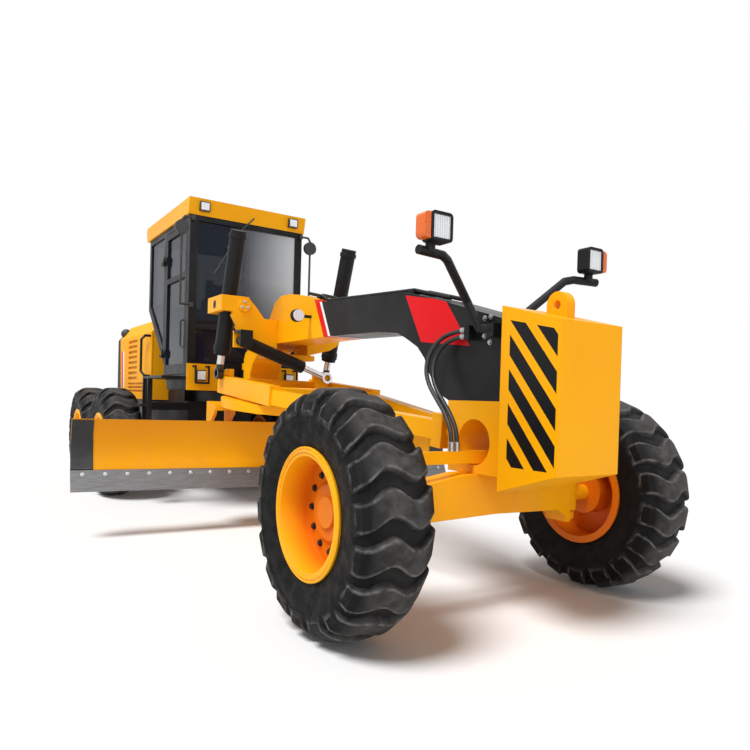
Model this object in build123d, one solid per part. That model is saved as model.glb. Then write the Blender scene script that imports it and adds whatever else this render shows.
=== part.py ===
# Motor grader in millimetres: X forward, Y to the machine's left, Z up, origin on the ground.
import math
import os

from build123d import *

# Wheels and stance
TANDEM_X = -2805
WHEELBASE = 6380
TANDEM_PITCH = 1540
TRACK_HALF = 1065
TYRE_R = 670
TYRE_HALF = 215
TYRE_LUGS = 18
LUG_H = 34
LUG_W = 92
LUG_SWAY = 32
LUG_END_R = 600
WALL_R = 510
CROWN_HALF = 118
BEAD_R = 325
RIM_WALL = 20
RIM_LIP = 27
RIM_HALF = 191
DISC_OFFSET = 10
DISC_T = 25
HUB_R = 150
SPINDLE_R = 55
SPINDLE_REACH = 40
KINGPIN_HALF = 765
KINGPIN_R = 35
STEER_ARM = 260

# Clearances
RUN = 0.05
SEAT_GAP = 0.3
FREE = 6
SHOE_GAP = 0.5

# Frames
NOSE_REACH = 370
WEIGHT_LENGTH = 430
WEIGHT_HALF = 245
GOOSE_HALF = 165
NOSE_LOW = 850
TAIL_REACH = 1570
HINGE_AHEAD = 195
HINGE_PIN_R = 60
HINGE_LUG_R = 110
HINGE_LOW = 1270
HINGE_HIGH = 1640
HINGE_LUG_T = 70
RAIL_Y = 350
RAIL_W = 100
RAIL_LOW = 880
RAIL_HIGH = 1180
DECK_T = 20

# Cab and hood
CAB_AHEAD = 2380
CAB_LENGTH = 1650
CAB_HALF = 667
CAB_FLOOR = 1330
CAB_WALL = 50
POST = 85
ROOF_TOP = 3405
ROOF_T = 175
SILL = 1640
WINDOW_BAR = 60
DOOR_WIDTH = 825
DOOR_LOW = 1500
HINGE_GAPS = (250, 310)
DOOR_PIN_R = 8
DOOR_EYE_R = 16
GLASS_T = 10
HOOD_HALF = 620
HOOD_EDGE = 2080
HOOD_TOP = 2270
SHOULDER = 140
HOOD_WALL = 30

# Blade gear
BALL_BACK = 300
BALL_Z = 1080
BALL_R = 75
LIFT_TILT = 5
CIRCLE_BACK = 2450
CIRCLE_DROP = 90
CIRCLE_OUT = 690
CIRCLE_IN = 560
CIRCLE_T = 80
BLADE_YAW = -5
BLADE_HALF = 1945
END_BIT_W = 175
END_BIT_T = 14
BLADE_LOW = 400
BLADE_H = 630
BLADE_SAG = 75
BLADE_T = 28
BLADE_FACE = 650
CARRIER_Y = 590
CARRIER_HALF = 65
CHEEK = 30
PITCH_X = 380
PITCH_Z = 560
PITCH_PIN_R = 30
DRAWBAR_Y = 510
DRAWBAR_W = 100
DRAWBAR_H = 175

# Cylinders
LIFT_Y = 595
LIFT_TOP = (811, 2815)
LIFT_EYE = (375, 1500)
LIFT_LENGTH = 1190
LIFT_BARREL_R = 75
LIFT_ROD_R = 35
TRUNNION_Z = 2140
TRUNNION_R = 40
SHIFT_X = 850
SHIFT_HEAD = (-545, 1795)
SHIFT_EYE = (345, 1485)
SHIFT_LENGTH = 660
SHIFT_BARREL_R = 60
SHIFT_ROD_R = 30

# Hoses from the frame's side to the lean bar
HOSE_R = 14
HOSE_OUTER = [
    (3600, -196, 1722),
    (3495, -196, 1722),
    (3385, -234, 1682),
    (3325, -272, 1590),
    (3322, -296, 1480),
    (3370, -304, 1385),
    (3455, -308, 1300),
    (3545, -316, 1220),
    (3612, -326, 1140),
    (3640, -330, 1065),
    (3640, -330, 988),
]
HOSE_INNER = [
    (3600, -196, 1684),
    (3502, -196, 1684),
    (3398, -222, 1640),
    (3346, -246, 1556),
    (3350, -264, 1458),
    (3402, -276, 1372),
    (3480, -283, 1294),
    (3560, -287, 1218),
    (3617, -289, 1140),
    (3640, -288, 1065),
    (3640, -288, 988),
]

FRONT_X = TANDEM_X + WHEELBASE
MID_X = TANDEM_X + TANDEM_PITCH / 2
REAR_X = TANDEM_X - TANDEM_PITCH / 2
WHEEL_Z = TYRE_R
CAB_FRONT = TANDEM_X + CAB_AHEAD
CAB_REAR = CAB_FRONT - CAB_LENGTH
CAB_TOP = ROOF_TOP - ROOF_T
DECK_TOP = RAIL_HIGH + DECK_T
HINGE_X = CAB_FRONT + HINGE_AHEAD
NOSE_FRONT = FRONT_X + NOSE_REACH
WEIGHT_FRONT = NOSE_FRONT + WEIGHT_LENGTH
REAR_END = TANDEM_X - TAIL_REACH
HOOD_FRONT = CAB_REAR - 20
HOOD_REAR = REAR_END + 330
BALL_X = FRONT_X - BALL_BACK
BLADE_TOP = BLADE_LOW + BLADE_H

os.makedirs("parts", exist_ok=True)


def write(name, *shapes):
    solids = [s for shape in shapes for s in shape.solids()]
    export_step(Compound(children=solids), f"parts/{name}.step")


def block(x0, x1, y0, y1, z0, z1):
    centre = ((x0 + x1) / 2, (y0 + y1) / 2, (z0 + z1) / 2)
    return Pos(*centre) * Box(abs(x1 - x0), abs(y1 - y0), abs(z1 - z0))


def rod(p, q, radius):
    p, q = Vector(*p), Vector(*q)
    plane = Plane(origin=p, z_dir=(q - p).normalized())
    return extrude(plane * Circle(radius), amount=(q - p).length)


def pipe(points, radius):
    shape = rod(points[0], points[1], radius)
    for p, q in zip(points[1:], points[2:]):
        shape += Pos(*p) * Sphere(radius) + rod(p, q, radius)
    return shape


def beam(p, q, width, height):
    p, q = Vector(*p), Vector(*q)
    along = (q - p).normalized()
    side = Vector(0, 0, 1).cross(along).normalized()
    plane = Plane(origin=p, x_dir=side, z_dir=along)
    return extrude(plane * Rectangle(width, height), amount=(q - p).length)


def side_plate(points, y0, y1):
    face = make_face(Polyline(*[(x, y0, z) for x, z in points], close=True))
    return extrude(face, amount=y1 - y0, dir=(0, 1, 0))


def front_plate(points, x0, x1):
    face = make_face(Polyline(*[(x0, y, z) for y, z in points], close=True))
    return extrude(face, amount=x1 - x0, dir=(1, 0, 0))


def mirrored(shape):
    return mirror(shape, about=Plane.XZ)


def both(shape):
    return shape + mirrored(shape)


# Wheels
def tyre():
    turn = math.radians(180 / TYRE_LUGS)
    case_r = TYRE_R - LUG_H
    half = [(RIM_HALF - 31, BEAD_R + SEAT_GAP), (TYRE_HALF, WALL_R), (CROWN_HALF, case_r)]
    outline = half + [(-a, r) for a, r in reversed(half)]
    reach = TYRE_R * math.tan(turn)
    sector = front_plate(outline, -reach, reach)
    sector &= side_plate([(0, 0), (-reach, TYRE_R), (reach, TYRE_R)], -2 * TYRE_HALF, 2 * TYRE_HALF)
    end = TYRE_HALF - 10
    wave = [(-LUG_SWAY, -end), (LUG_SWAY, -end / 3), (-LUG_SWAY, end / 3), (LUG_SWAY, end)]
    edge = [(t - LUG_W / 2, a) for t, a in wave] + [(t + LUG_W / 2, a) for t, a in reversed(wave)]
    foot = WALL_R - 10
    face = make_face(Polyline(*[(t, a, foot) for t, a in edge], close=True))
    crown = [(-end, foot), (-end, LUG_END_R), (-end / 3, TYRE_R), (end / 3, TYRE_R), (end, LUG_END_R), (end, foot)]
    sector += extrude(face, amount=TYRE_R - foot, dir=(0, 0, 1)) & front_plate(crown, -LUG_W, LUG_W)
    ring = sector
    for k in range(1, TYRE_LUGS):
        ring += Rot(0, k * 360 / TYRE_LUGS, 0) * sector
    return ring


def rim():
    flange_r = BEAD_R + RIM_LIP
    well_r = BEAD_R - RIM_WALL
    lip = RIM_HALF - 15
    section = [
        (well_r, -RIM_HALF),
        (flange_r, -RIM_HALF),
        (flange_r, -lip),
        (BEAD_R, -lip),
        (BEAD_R, lip),
        (flange_r, lip),
        (flange_r, RIM_HALF),
        (well_r, RIM_HALF),
        (well_r - 30, DISC_OFFSET + DISC_T),
        (HUB_R + 25, DISC_OFFSET + DISC_T),
        (HUB_R, 58),
        (90, 58),
        (85, 74),
        (0, 74),
        (0, SPINDLE_REACH + 5),
        (SPINDLE_R + RUN, SPINDLE_REACH + 5),
        (SPINDLE_R + RUN, -120),
        (HUB_R, -120),
        (HUB_R, DISC_OFFSET),
        (well_r, DISC_OFFSET),
    ]
    face = make_face(Polyline(*[(0, a, r) for r, a in section], close=True))
    return revolve(face, axis=Axis((0, 0, 0), (0, 1, 0)))


tyre_left, rim_left = tyre(), rim()
for place, x in (("front", FRONT_X), ("middle", MID_X), ("rear", REAR_X)):
    spot = Pos(x, TRACK_HALF, WHEEL_Z)
    write(f"tyre_{place}_left", spot * tyre_left)
    write(f"tyre_{place}_right", mirrored(spot * tyre_left))
    write(f"rim_{place}_left", spot * rim_left)
    write(f"rim_{place}_right", mirrored(spot * rim_left))

# Front axle, knuckles and steering
spindle_end = TRACK_HALF + SPINDLE_REACH
head_in = KINGPIN_HALF - 135
beam_half = [(0, 600), (560, 585), (head_in, 540), (head_in, 800), (560, 800), (250, NOSE_LOW), (0, NOSE_LOW)]
half_axle = front_plate(beam_half, FRONT_X - 60, FRONT_X + 120)
half_axle += block(FRONT_X - 20, FRONT_X + 120, head_in, head_in + 50, WHEEL_Z - 170, WHEEL_Z + 340)
for low in (WHEEL_Z - 170, WHEEL_Z + 120):
    half_axle += block(FRONT_X - 60, FRONT_X + 60, head_in + 10, KINGPIN_HALF, low, low + 50)
    half_axle += Pos(FRONT_X, KINGPIN_HALF, low + 25) * Cylinder(60, 50)
half_axle -= Pos(FRONT_X, KINGPIN_HALF, WHEEL_Z) * Cylinder(KINGPIN_R + RUN, 400)
write("front_axle", both(half_axle))
LEAN_X = FRONT_X + 65
LEAN_Z = WHEEL_Z + 280
LEAN_TOP = LEAN_Z + 38
write("lean_bar", block(LEAN_X - 20, LEAN_X + 20, -head_in, head_in, LEAN_Z - 37, LEAN_TOP))

arm_x = FRONT_X - STEER_ARM
arm_z = WHEEL_Z - 85
tie_z = WHEEL_Z - 115
knuckle = Pos(FRONT_X, KINGPIN_HALF, WHEEL_Z) * Cylinder(75, 220)
knuckle += Pos(FRONT_X, KINGPIN_HALF, WHEEL_Z) * Cylinder(KINGPIN_R, 340)
knuckle += rod((FRONT_X, KINGPIN_HALF, WHEEL_Z), (FRONT_X, spindle_end, WHEEL_Z), SPINDLE_R)
knuckle += block(arm_x, FRONT_X, KINGPIN_HALF - 35, KINGPIN_HALF + 35, arm_z, arm_z + 40)
knuckle += Pos(arm_x, KINGPIN_HALF, arm_z + 20) * Cylinder(35, 40)
knuckle += Pos(arm_x, KINGPIN_HALF, tie_z + 20) * Cylinder(18, 100)
write("knuckle_left", knuckle)
write("knuckle_right", mirrored(knuckle))
tie = rod((arm_x, -KINGPIN_HALF, tie_z), (arm_x, KINGPIN_HALF, tie_z), 20)
for side in (1, -1):
    tie += Pos(arm_x, side * KINGPIN_HALF, tie_z) * Cylinder(38, 46)
    tie -= Pos(arm_x, side * KINGPIN_HALF, tie_z) * Cylinder(18 + RUN, 120)
write("tie_rod", tie)

# Gooseneck: the leg behind is set out from the articulation, the nose in front from the axle
leg_line = [
    (HINGE_X + 350, HINGE_LOW),
    (HINGE_X + 170, HINGE_LOW),
    (HINGE_X + 170, 1680),
    (HINGE_X + 210, 1745),
    (HINGE_X + 350, 1800),
    (HINGE_X + 610, 1900),
    (HINGE_X + 790, 2020),
    (HINGE_X + 867, 2118),
    (HINGE_X + 932, 2199),
    (HINGE_X + 1067, 2252),
    (HINGE_X + 1264, 2248),
    (HINGE_X + 1480, 2215),
    (HINGE_X + 1710, 2165),
    (HINGE_X + 1853, 2110),
]
nose_top = [(FRONT_X - 1267, 2074), (FRONT_X - 707, 2045), (FRONT_X - 298, 1944)]
nose_line = [
    (NOSE_FRONT, 1752),
    (NOSE_FRONT, NOSE_LOW),
    (FRONT_X - 161, NOSE_LOW),
    (FRONT_X - 176, 1292),
    (FRONT_X - 280, 1336),
    (FRONT_X - 392, 1476),
    (FRONT_X - 441, 1570),
    (FRONT_X - 523, 1649),
    (FRONT_X - 654, 1714),
    (FRONT_X - 766, 1761),
    (FRONT_X - 1040, 1787),
]
belly_line = [
    (HINGE_X + 2046, 1804),
    (HINGE_X + 930, 1800),
    (HINGE_X + 650, 1755),
    (HINGE_X + 530, 1710),
    (HINGE_X + 420, 1630),
    (HINGE_X + 350, 1520),
]
goose = side_plate(leg_line + nose_top + nose_line + belly_line, -GOOSE_HALF, GOOSE_HALF)
goose -= rod((LEAN_X + 10, -300, LEAN_Z + 90), (LEAN_X + 10, 300, LEAN_Z + 90), 140)
for z in (HINGE_LOW, HINGE_HIGH - HINGE_LUG_T):
    goose += block(HINGE_X, HINGE_X + 180, -HINGE_LUG_R, HINGE_LUG_R, z, z + HINGE_LUG_T)
    goose += Pos(HINGE_X, 0, z + HINGE_LUG_T / 2) * Cylinder(HINGE_LUG_R, HINGE_LUG_T)
HINGE_MID = (HINGE_LOW + HINGE_HIGH) / 2
goose -= Pos(HINGE_X, 0, HINGE_MID) * Cylinder(HINGE_PIN_R + RUN, 700)
goose += block(BALL_X + 65, BALL_X + 155, -110, 110, BALL_Z - 120, BALL_Z + 120)
goose += rod((BALL_X, 0, BALL_Z), (BALL_X + 75, 0, BALL_Z), 40)
goose += Pos(BALL_X, 0, BALL_Z) * Sphere(BALL_R)
goose += block(HOSE_OUTER[0][0], HOSE_OUTER[0][0] + 45, -225, -GOOSE_HALF, 1660, 1745)
write("gooseneck", goose)

PIPE_Y = 70
pipe_rise = 24
top_run = leg_line[10:] + nose_top
pipe_run = [(x, PIPE_Y, z + pipe_rise) for x, z in top_run[1:]]
pipes = pipe(pipe_run, 15)
for x, z in (top_run[2], nose_top[0], nose_top[1]):
    pipes += block(x - 30, x + 30, PIPE_Y - 30, PIPE_Y + 30, z - 20, z + pipe_rise)
write("frame_pipes", pipes - goose, mirrored(pipes) - goose)

weight_line = [(NOSE_FRONT, 780), (WEIGHT_FRONT, 910), (WEIGHT_FRONT, 1720), (NOSE_FRONT, 1830)]
weight = side_plate(weight_line, -WEIGHT_HALF, WEIGHT_HALF)
LUG_X = NOSE_FRONT + 205
LUG_Z = 1835
weight += block(LUG_X - 75, LUG_X + 75, -30, 30, 1740, LUG_Z)
weight += rod((LUG_X, -30, LUG_Z), (LUG_X, 30, LUG_Z), 75)
weight -= rod((LUG_X, -60, LUG_Z), (LUG_X, 60, LUG_Z), 25)
write("counterweight", weight)

LAMP_X = FRONT_X + 300
LAMP_Y = (560, 750)
LAMP_Z = (2140, 2300)
LAMP_DEPTH = 90
AMBER_Y = 706
stalk = block(FRONT_X + 225, FRONT_X + 280, GOOSE_HALF, GOOSE_HALF + 60, 1665, 1745)
bends = [(FRONT_X + 250, 205, 1706), (FRONT_X + 142, 210, 1722), (FRONT_X + 88, 262, 1880)]
bends += [(FRONT_X + 170, 490, 2082), (FRONT_X + 195, 545, 2096), (FRONT_X + 225, 735, 2096)]
stalk += pipe(bends, 26)
stalk += rod((LAMP_X - 75, 655, 2090), (LAMP_X - 75, 655, LAMP_Z[0]), 28)
housing = block(LAMP_X - LAMP_DEPTH, LAMP_X, LAMP_Y[0], AMBER_Y, *LAMP_Z)
housing = fillet(housing.edges().filter_by(Axis.X), 24)
window_y = (LAMP_Y[0] + 16, AMBER_Y - 16)
window_z = (LAMP_Z[0] + 18, LAMP_Z[1] - 18)
housing -= block(LAMP_X - 14, LAMP_X + 10, *window_y, *window_z)
stalk += housing
lens = block(LAMP_X - 14, LAMP_X - 6, *window_y, *window_z)
amber = block(LAMP_X - LAMP_DEPTH + 6, LAMP_X - 6, AMBER_Y, LAMP_Y[1], LAMP_Z[0] + 10, LAMP_Z[1] - 10)
amber = fillet(amber.edges().filter_by(Axis.X).group_by(Axis.Y)[-1], 26)
SIDE_LAMP = (HINGE_X + 1738, 300, 1995)
sx, sy, sz = SIDE_LAMP
cup = rod((sx - 60, sy, sz), (sx - 10, sy, sz), 55) + block(sx - 55, sx - 25, GOOSE_HALF, sy, sz - 12, sz + 12)
side_lens = rod((sx - 10, sy, sz), (sx, sy, sz), 50)
write("headlamp_stalks", stalk, mirrored(stalk), cup, mirrored(cup))
write("headlamps", lens, mirrored(lens), side_lens, mirrored(side_lens))
write("turn_lamps", amber, mirrored(amber))


def hose(name, points):
    corners = [Vector(*p) for p in points]
    radii = []
    for a, b, c in zip(corners, corners[1:], corners[2:]):
        turn = math.radians((b - a).get_angle(c - b))
        radii.append(0.45 * min((b - a).length, (c - b).length) / math.tan(turn / 2))
    path = FilletPolyline(*corners, radius=radii)
    start = Plane(origin=path @ 0, z_dir=path % 0)
    tube = sweep(start * Circle(HOSE_R), path=path)
    full = math.pi * HOSE_R**2 * path.length
    print(name, "length", round(path.length), "radii", [round(r) for r in radii], "share", round(tube.volume / full, 4))
    write(name, tube)


hose("hose_outer", HOSE_OUTER)
hose("hose_inner", HOSE_INNER)

# Lift saddle: cranked arms in front of the lift cylinders, trunnion rings round them
lean = (LIFT_TOP[0] - LIFT_EYE[0]) / (LIFT_TOP[1] - LIFT_EYE[1])
TRUNNION_X = LIFT_EYE[0] + lean * (TRUNNION_Z - LIFT_EYE[1])
ARM_FRONT = TRUNNION_X + 190
ARM_BACK = ARM_FRONT - 90
ring_in = LIFT_Y - 135
ring_out = LIFT_Y + 135
crank_line = [
    (GOOSE_HALF, 2025),
    (305, 2025),
    (390, 2130),
    (474, 2214),
    (573, 2207),
    (628, 2033),
    (504, 1818),
    (420, 1768),
    (GOOSE_HALF, 1700),
]
half_saddle = front_plate(crank_line, ARM_BACK, ARM_FRONT)
half_saddle += rod((ARM_FRONT, 510, 2130), (ARM_FRONT + 22, 510, 2130), 60)
trunnion_ring = block(TRUNNION_X - 190, ARM_FRONT, ring_in, ring_out, TRUNNION_Z - 70, TRUNNION_Z + 75)
hole = block(TRUNNION_X - 140, TRUNNION_X + 140, ring_in + 50, ring_out - 50, TRUNNION_Z - 200, TRUNNION_Z + 200)
half_saddle = half_saddle + trunnion_ring - hole
half_saddle -= rod((TRUNNION_X, ring_in - 9, TRUNNION_Z), (TRUNNION_X, ring_out + 9, TRUNNION_Z), TRUNNION_R + RUN)
half_saddle += block(TRUNNION_X - 100, ARM_BACK, GOOSE_HALF, 245, 1700, 1990)
saddle = both(half_saddle)
saddle += block(TRUNNION_X - 100, ARM_FRONT, -245, 245, 1650, 1702) - goose
head_y, head_z = SHIFT_HEAD
fork_back = SHIFT_X - SHIFT_BARREL_R - 13
fork_front = SHIFT_X + SHIFT_BARREL_R + 13
fork_top = head_z + SHIFT_BARREL_R + 8
saddle += block(fork_back - 25, fork_back, head_y - 60, -400, head_z - 60, fork_top + 25)
saddle += block(fork_front, fork_front + 25, head_y - 60, head_y + 60, head_z - 60, fork_top + 25)
saddle += block(fork_back - 25, fork_front + 25, head_y - 60, head_y + 60, fork_top, fork_top + 25)
saddle -= rod((SHIFT_X - 200, head_y, head_z), (SHIFT_X + 200, head_y, head_z), TRUNNION_R + RUN)
write("lift_saddle", saddle)

# Lift cylinders
lift_axis = Vector(LIFT_EYE[0] - LIFT_TOP[0], 0, LIFT_EYE[1] - LIFT_TOP[1]).normalized()
top = Vector(LIFT_TOP[0], LIFT_Y, LIFT_TOP[1])
eye = Vector(LIFT_EYE[0], LIFT_Y, LIFT_EYE[1])
gland = top + lift_axis * LIFT_LENGTH
barrel = rod(top, gland, LIFT_BARREL_R)
barrel += rod(top + lift_axis * 40, top + lift_axis * 75, LIFT_BARREL_R + 9)
barrel += rod(gland - lift_axis * 90, gland - lift_axis * 30, LIFT_BARREL_R + 9)
barrel += rod((TRUNNION_X, ring_in, TRUNNION_Z), (TRUNNION_X, ring_out, TRUNNION_Z), TRUNNION_R)
barrel -= rod(top + lift_axis * 22, gland + lift_axis * 20, LIFT_ROD_R + RUN)
piston = rod(top + lift_axis * 132, eye - lift_axis * 30, LIFT_ROD_R)
piston += rod(eye - Vector(0, 30, 0), eye + Vector(0, 30, 0), 60)
piston -= rod(eye - Vector(0, 60, 0), eye + Vector(0, 60, 0), 38)
write("lift_barrel_left", barrel)
write("lift_barrel_right", mirrored(barrel))
write("lift_rod_left", piston)
write("lift_rod_right", mirrored(piston))

# Centre-shift cylinder, across under the gooseneck
head = Vector(SHIFT_X, head_y, head_z)
tip = Vector(SHIFT_X, SHIFT_EYE[0], SHIFT_EYE[1])
shift_axis = (tip - head).normalized()
shift_gland = head + shift_axis * SHIFT_LENGTH
barrel = rod(head, shift_gland, SHIFT_BARREL_R)
barrel += rod((fork_back - 25, head_y, head_z), (fork_front + 25, head_y, head_z), TRUNNION_R)
barrel -= rod(head + shift_axis * 60, shift_gland + shift_axis * 20, SHIFT_ROD_R + RUN)
piston = rod(head + shift_axis * 150, tip - shift_axis * 30, SHIFT_ROD_R)
piston += rod(tip - Vector(30, 0, 0), tip + Vector(30, 0, 0), 55)
piston -= rod(tip - Vector(60, 0, 0), tip + Vector(60, 0, 0), 33)
write("shift_barrel", barrel)
write("shift_rod", piston)

# Drawbar, drawn level and then lifted about its ball to where the blade hangs at rest
lifted = Pos(BALL_X, 0, BALL_Z) * Rot(0, LIFT_TILT, 0) * Pos(-BALL_X, 0, -BALL_Z)
hub_x = BALL_X - CIRCLE_BACK
hub_z = BALL_Z - CIRCLE_DROP
ring_top = hub_z + CIRCLE_T / 2
ring_low = hub_z - CIRCLE_T / 2
BAR_LOW = ring_top + 15
BAR_TOP = BAR_LOW + DRAWBAR_H
bar_back = hub_x - 595
bar_front = hub_x + 675
bar_in = DRAWBAR_Y - DRAWBAR_W / 2
bar_out = DRAWBAR_Y + DRAWBAR_W / 2
half = beam((BALL_X - 75, 60, BALL_Z + 5), (bar_front - 60, DRAWBAR_Y - 8, BAR_LOW + 75), DRAWBAR_W, 130)
half += block(bar_back, bar_front, bar_in, bar_out, BAR_LOW, BAR_TOP)
for x in (hub_x - 255, hub_x + 255):
    half += block(x - 45, x + 45, CIRCLE_IN - 140, CIRCLE_IN - 60, ring_low - 20, BAR_LOW + 10)
drawbar = both(half)
for x0, x1 in ((bar_back, bar_back + 120), (bar_front - 150, bar_front)):
    drawbar += block(x0, x1, -DRAWBAR_Y, DRAWBAR_Y, BAR_LOW, BAR_TOP - 20)
deck = block(bar_back, bar_front, -DRAWBAR_Y, DRAWBAR_Y, BAR_LOW, BAR_LOW + 25)
drawbar += deck - Pos(hub_x, 0, hub_z) * Cylinder(360, 600)
drawbar += block(BALL_X - 110, BALL_X, -115, 115, BALL_Z - 110, BALL_Z + 120)
groove = Cylinder(CIRCLE_OUT + 200, CIRCLE_T + 2 * SHOE_GAP) - Cylinder(CIRCLE_IN - SHOE_GAP, CIRCLE_T * 2)
drawbar -= Pos(hub_x, 0, hub_z) * groove
drawbar = lifted * drawbar
eye_x, eye_z = LIFT_EYE
ear = block(eye_x - 55, eye_x + 55, bar_in, bar_out - 50, eye_z - 110, eye_z + 45)
ear += rod((eye_x, bar_out - 60, eye_z), (eye_x, LIFT_Y - 30 - FREE, eye_z), 32)
drawbar += both(ear)
post_y, post_z = SHIFT_EYE
drawbar += block(SHIFT_X - 150, SHIFT_X - 74, post_y - 60, bar_in + 10, post_z - 185, post_z - 85)
drawbar += block(SHIFT_X - 150, SHIFT_X - 74, post_y - 60, post_y + 60, post_z - 100, post_z + 60)
drawbar += rod((SHIFT_X - 80, post_y, post_z), (SHIFT_X - 60, post_y, post_z), 28)
drawbar -= Pos(BALL_X, 0, BALL_Z) * Sphere(BALL_R + RUN)
write("drawbar", drawbar)

# Circle with its arms, and all it carries, turned about the circle's axis to the blade's angle at rest
hub = lifted * Pos(hub_x, 0, hub_z)
centre = hub.position
swing = Rot(0, LIFT_TILT, 0) * Rot(0, 0, BLADE_YAW) * Rot(0, -LIFT_TILT, 0)
turned = Pos(centre) * swing * Pos(-centre)
circle = hub * (Cylinder(CIRCLE_OUT, CIRCLE_T) - Cylinder(CIRCLE_IN, CIRCLE_T * 2))
cheek_in = CARRIER_Y - CARRIER_HALF - 10 - CHEEK
cheek_out = CARRIER_Y + CARRIER_HALF + 10 + CHEEK
arm_top = centre.Z + 20
arm_back = PITCH_X - 150
arm_line = [
    (arm_back, arm_top),
    (arm_back, PITCH_Z),
    (PITCH_X + 75, PITCH_Z),
    (PITCH_X - 5, PITCH_Z + 120),
    (PITCH_X - 5, arm_top - 225),
    (PITCH_X + 140, arm_top - 125),
    (PITCH_X + 180, arm_top),
]
arms = block(arm_back, PITCH_X + 180, cheek_in, cheek_out, arm_top - 95, arm_top)
for y in (cheek_in, cheek_out - CHEEK):
    arms += side_plate(arm_line, y, y + CHEEK)
    arms += rod((PITCH_X, y, PITCH_Z), (PITCH_X, y + CHEEK, PITCH_Z), 75)
arms = both(arms)
above = Cylinder(2 * CIRCLE_OUT, 300, align=(Align.CENTER, Align.CENTER, Align.MIN))
inner = Cylinder(CIRCLE_IN + 55, 330, align=(Align.CENTER, Align.CENTER, Align.MIN))
arms -= hub * Pos(0, 0, -CIRCLE_T / 2) * above
arms -= hub * Pos(0, 0, -CIRCLE_T / 2 - 30) * inner
circle += arms
pitch_pin = [(PITCH_X, cheek_in, PITCH_Z), (PITCH_X, cheek_out, PITCH_Z)]
circle += both(rod(*pitch_pin, PITCH_PIN_R))
write("circle", turned * circle)

SLIDE_LOW = BLADE_LOW + 120
SLIDE_HIGH = BLADE_TOP - 170
SLIDE_H = 50
BAR_X = BLADE_FACE - 190
BAR_Z = (SLIDE_LOW + SLIDE_HIGH + SLIDE_H) / 2
BAR_R = 28
y0, y1 = CARRIER_Y - CARRIER_HALF, CARRIER_Y + CARRIER_HALF
carrier = block(BLADE_FACE - 230, BLADE_FACE - 160, y0, y1, SLIDE_LOW - 35, SLIDE_HIGH + SLIDE_H + 35)
claw = SLIDE_HIGH + SLIDE_H + FREE
carrier += block(BLADE_FACE - 160, BLADE_FACE - 105, y0, y1, claw, claw + 29)
carrier += block(BLADE_FACE - 160, BLADE_FACE - 75, y0, y1, SLIDE_LOW - 35, SLIDE_LOW - FREE)
carrier += block(PITCH_X, BLADE_FACE - 220, y0, y1, PITCH_Z - 65, PITCH_Z + 65)
carrier += rod((PITCH_X, y0, PITCH_Z), (PITCH_X, y1, PITCH_Z), 65)
carrier -= rod(*pitch_pin, PITCH_PIN_R + RUN)
carrier = both(carrier)
carrier += rod((BAR_X, -690, BAR_Z), (BAR_X, 660, BAR_Z), 50)
carrier -= rod((BAR_X, -670, BAR_Z), (BAR_X, 680, BAR_Z), BAR_R + RUN)
write("blade_carrier", turned * carrier)

low_z = BLADE_LOW + 80
mid_z = (low_z + BLADE_TOP) / 2
front = [(BLADE_FACE, low_z), (BLADE_FACE - BLADE_SAG, mid_z), (BLADE_FACE, BLADE_TOP)]
back = [(x - BLADE_T, z) for x, z in reversed(front)]
outline = [ThreePointArc(*[(x, -BLADE_HALF, z) for x, z in line]) for line in (front, back)]
outline += [Line(outline[0] @ 1, outline[1] @ 0), Line(outline[1] @ 1, outline[0] @ 0)]
moldboard = extrude(make_face(outline), amount=2 * BLADE_HALF, dir=(0, 1, 0))
SLIDE_HALF = 1230
moldboard += block(BLADE_FACE - 150, BLADE_FACE - 75, -SLIDE_HALF, SLIDE_HALF, SLIDE_HIGH, SLIDE_HIGH + SLIDE_H)
moldboard += block(BLADE_FACE - 135, BLADE_FACE - 46, -SLIDE_HALF, SLIDE_HALF, SLIDE_LOW, SLIDE_LOW + SLIDE_H)
moldboard += rod((BAR_X, -90, BAR_Z), (BAR_X, SLIDE_HALF - 10, BAR_Z), BAR_R)
moldboard += block(BAR_X - 40, BLADE_FACE - 80, SLIDE_HALF - 35, SLIDE_HALF + 15, BAR_Z - 40, BAR_Z + 40)
write("moldboard", turned * moldboard)
edge_line = [
    (BLADE_FACE - 45, low_z + 100),
    (BLADE_FACE + 36.5, BLADE_LOW),
    (BLADE_FACE + 58.5, BLADE_LOW),
    (BLADE_FACE - 23, low_z + 100),
]
edge = side_plate(edge_line, -BLADE_HALF, BLADE_HALF)
bit_front = [(x + END_BIT_T, z) for x, z in front]
outline = [ThreePointArc(*[(x, BLADE_HALF - END_BIT_W, z) for x, z in line]) for line in (bit_front, front[::-1])]
outline += [Line(outline[0] @ 1, outline[1] @ 0), Line(outline[1] @ 1, outline[0] @ 0)]
bit = extrude(make_face(outline), amount=END_BIT_W, dir=(0, 1, 0))
bit &= block(0, 1000, 0, BLADE_HALF, low_z + 110, BLADE_TOP - 10)
write("cutting_edge", turned * edge, turned * bit, turned * mirrored(bit))

# Raised neck under the cab, with the articulation pin
NECK_LOW = RAIL_HIGH + DECK_T
NECK_BACK = CAB_FRONT - 875
neck = block(CAB_FRONT, CAB_FRONT + 75, -300, 300, NECK_LOW, HINGE_HIGH)
neck += block(CAB_FRONT + 70, HINGE_X, -80, 80, HINGE_LOW + HINGE_LUG_T + 10, HINGE_HIGH - HINGE_LUG_T - 10)
neck += Pos(HINGE_X, 0, HINGE_MID) * Cylinder(95, HINGE_HIGH - HINGE_LOW - 2 * HINGE_LUG_T - 20)
neck += Pos(HINGE_X, 0, HINGE_MID) * Cylinder(HINGE_PIN_R, HINGE_HIGH - HINGE_LOW + 30)
for y in (-250, 250):
    neck += block(NECK_BACK, CAB_FRONT + 10, y - 50, y + 50, NECK_LOW, CAB_FLOOR)
write("frame_neck", neck)

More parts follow.
